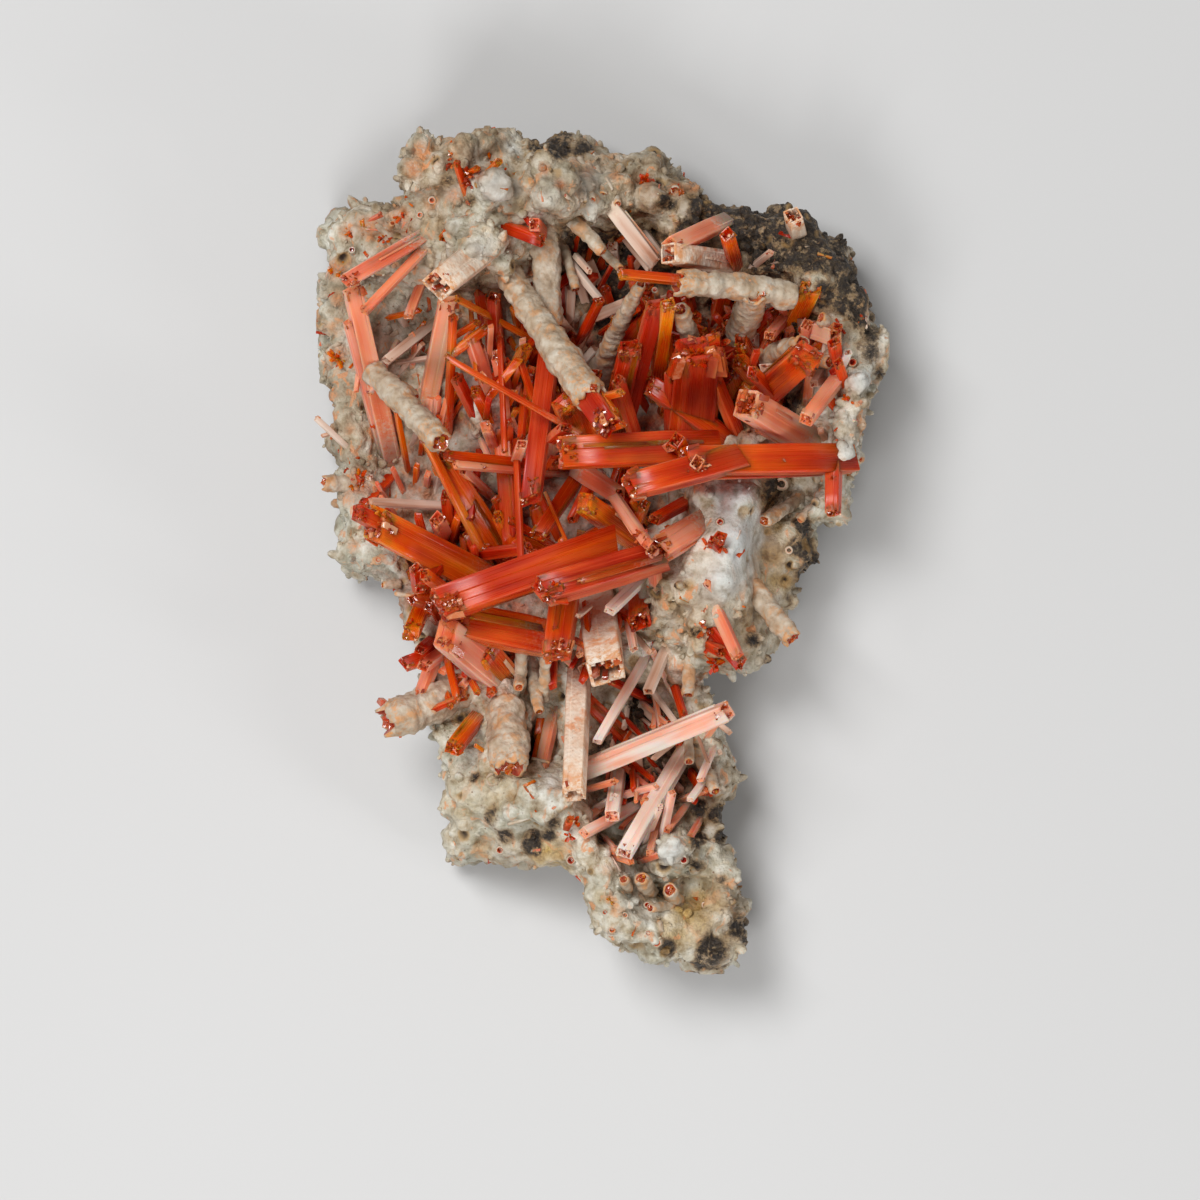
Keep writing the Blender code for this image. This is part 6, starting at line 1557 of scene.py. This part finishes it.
# slivers that peek out of the crust: the left wall, the top, the rims, the arm and the leg
co, way = points_of(rock.data), normals_of(rock.data)
su, sv = front_view(co)
made = 0
for i in range(6000):
    if made >= 210:
        break
    k = int(hashed(i, 301) * len(co)) % len(co)
    u, v, w = su[k], sv[k], way[k]
    if w[2] < 0.05 or co[k][2] < 4:
        continue
    where = 0.0
    for cu, cv, ru, rv, chance in (
        (370, 360, 55, 170, 1.0), (470, 185, 90, 60, 0.9), (620, 190, 70, 40, 0.5), (860, 400, 35, 110, 0.8), (415, 715, 50, 35, 0.9),
        (500, 800, 70, 60, 0.35), (640, 900, 60, 50, 0.4), (800, 280, 60, 50, 0.4), (660, 620, 50, 50, 0.4), (440, 610, 50, 50, 1.0), (770, 560, 50, 60, 0.3),
    ):
        if ((u - cu) / ru) ** 2 + ((v - cv) / rv) ** 2 < 1:
            where = max(where, chance)
    if hashed(i, 302) > where:
        continue
    made += 1
    side = np.cross(w, [0.2, 0.3, 0.9])
    side /= np.linalg.norm(side)
    turn = 2 * math.pi * hashed(i, 303)
    flat = side * math.cos(turn) + np.cross(w, side) * math.sin(turn)
    d = flat + w * (0.05 + 0.6 * hashed(i, 304) ** 3)
    d /= np.linalg.norm(d)
    length, wide = 0.9 + 1.8 * hashed(i, 305), 0.3 + 0.55 * hashed(i, 306) ** 2
    root = co[k] - d * 0.5 * length - w * 0.36 * wide
    habit = ("flame", "rose", "tan", "flame", "ruby", "crust")[int(hashed(i, 307) * 6) % 6]
    if habit == "crust":
        add_finger(small, 40000 + i, root, root + d * length * 1.3, wide * 1.3, 0.0)
    else:
        add_prism(small, 40000 + i, habit, root, root + d * length, wide, 0.8, 360 * hashed(i, 308), 0.2, 0.0, False)
piece = small.object("small_growth", PAINTS)
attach(piece, "root")

fill = Batch()
for f, (centre, spread, count, habits, lengths, widths, heading, fan) in enumerate(FILL):
    for i in range(count):
        key = 30000 + 500 * f + i
        ang, rad = 2 * math.pi * hashed(key, 1), math.sqrt(hashed(key, 2))
        u, v = centre[0] + spread[0] * rad * math.cos(ang), centre[1] + spread[1] * rad * math.sin(ang)
        if not inside(u, v, OUTLINE)[0]:
            continue
        length = lengths[0] + (lengths[1] - lengths[0]) * hashed(key, 3)
        wide = (widths[0] + (widths[1] - widths[0]) * hashed(key, 4) ** 1.5) / UNITS_PER_MM
        turn = math.radians(heading + fan * 2 * (hashed(key, 5) - 0.5))
        lean = math.radians(25 + 50 * hashed(key, 6))
        z0 = sits_at(u, v) - 0.5
        d = np.array([math.cos(turn) * math.sin(lean), -math.sin(turn) * math.sin(lean), math.cos(lean)])
        root = at(u, v, z0)
        tip = root + d * length
        habit = habits[int(hashed(key, 8) * len(habits)) % len(habits)]
        if habit == "crust":
            add_finger(fill, key, root, tip, wide, -0.2)
        else:
            add_prism(fill, key, habit, root, tip, wide, 0.75 + 0.25 * hashed(key, 9), 90 * hashed(key, 10), 0.3, 0.4 if wide > 1.8 else 0.0, wide > 1.5)
piece = fill.object("hollow_growth", PAINTS)
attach(piece, "root")

# ---------------------------------------------------------------- floor, light, camera
floor_mesh = bpy.data.meshes.new("floor")
floor_mesh.from_pydata([(-3, -3, 0), (3, -3, 0), (3, 3, 0), (-3, 3, 0)], [], [(0, 1, 2, 3)])
floor = new_object("floor", floor_mesh)
paint = Paint("floor")
paint.link(paint.ramp(paint.noise(paint.position(3.0), 1.0, 2), [(0.3, (0.60, 0.60, 0.60)), (0.7, (0.64, 0.64, 0.64))]), paint.shader.inputs["Base Color"])
paint.shader.inputs["Roughness"].default_value = 0.8
floor_mesh.materials.append(paint.material)


def softbox(name, place, size, watts, tint=(1, 1, 1)):
    light = bpy.data.lights.new(name, "AREA")
    light.shape = "RECTANGLE"
    light.size, light.size_y = size
    light.energy = watts
    light.color = tint
    made = bpy.data.objects.new(name, light)
    bpy.context.scene.collection.objects.link(made)
    made.location = place
    made.rotation_euler = (Vector((0, 0, 0.015)) - Vector(place)).to_track_quat("-Z", "Y").to_euler()
    return made


softbox("key", (-0.30, 0.30, 0.80), (0.36, 0.36), 5.6)
softbox("side", (0.52, -0.30, 0.30), (0.12, 0.20), 0.9)
softbox("low", (-0.20, -0.44, 0.60), (0.30, 0.24), 2.2)
world = bpy.data.worlds.new("studio")
bpy.context.scene.world = world
world.use_nodes = True
world.node_tree.nodes["Background"].inputs["Color"].default_value = (1.0, 0.98, 0.95, 1)
world.node_tree.nodes["Background"].inputs["Strength"].default_value = 0.21

lens = bpy.data.cameras.new("view")
camera = bpy.data.objects.new("view", lens)
bpy.context.scene.collection.objects.link(camera)
camera.location = (EYE[0] * MM, EYE[1] * MM, EYE[2] * MM)
lens.sensor_width = 36.0
lens.lens = 36.0 / (2 * (600.0 / UNITS_PER_MM) / (EYE_MM - PLANE_MM))
lens.clip_start, lens.clip_end = 0.05, 10.0
bpy.context.scene.camera = camera
bpy.context.scene.view_settings.view_transform = "Standard"
bpy.context.scene.view_settings.exposure = 0.0
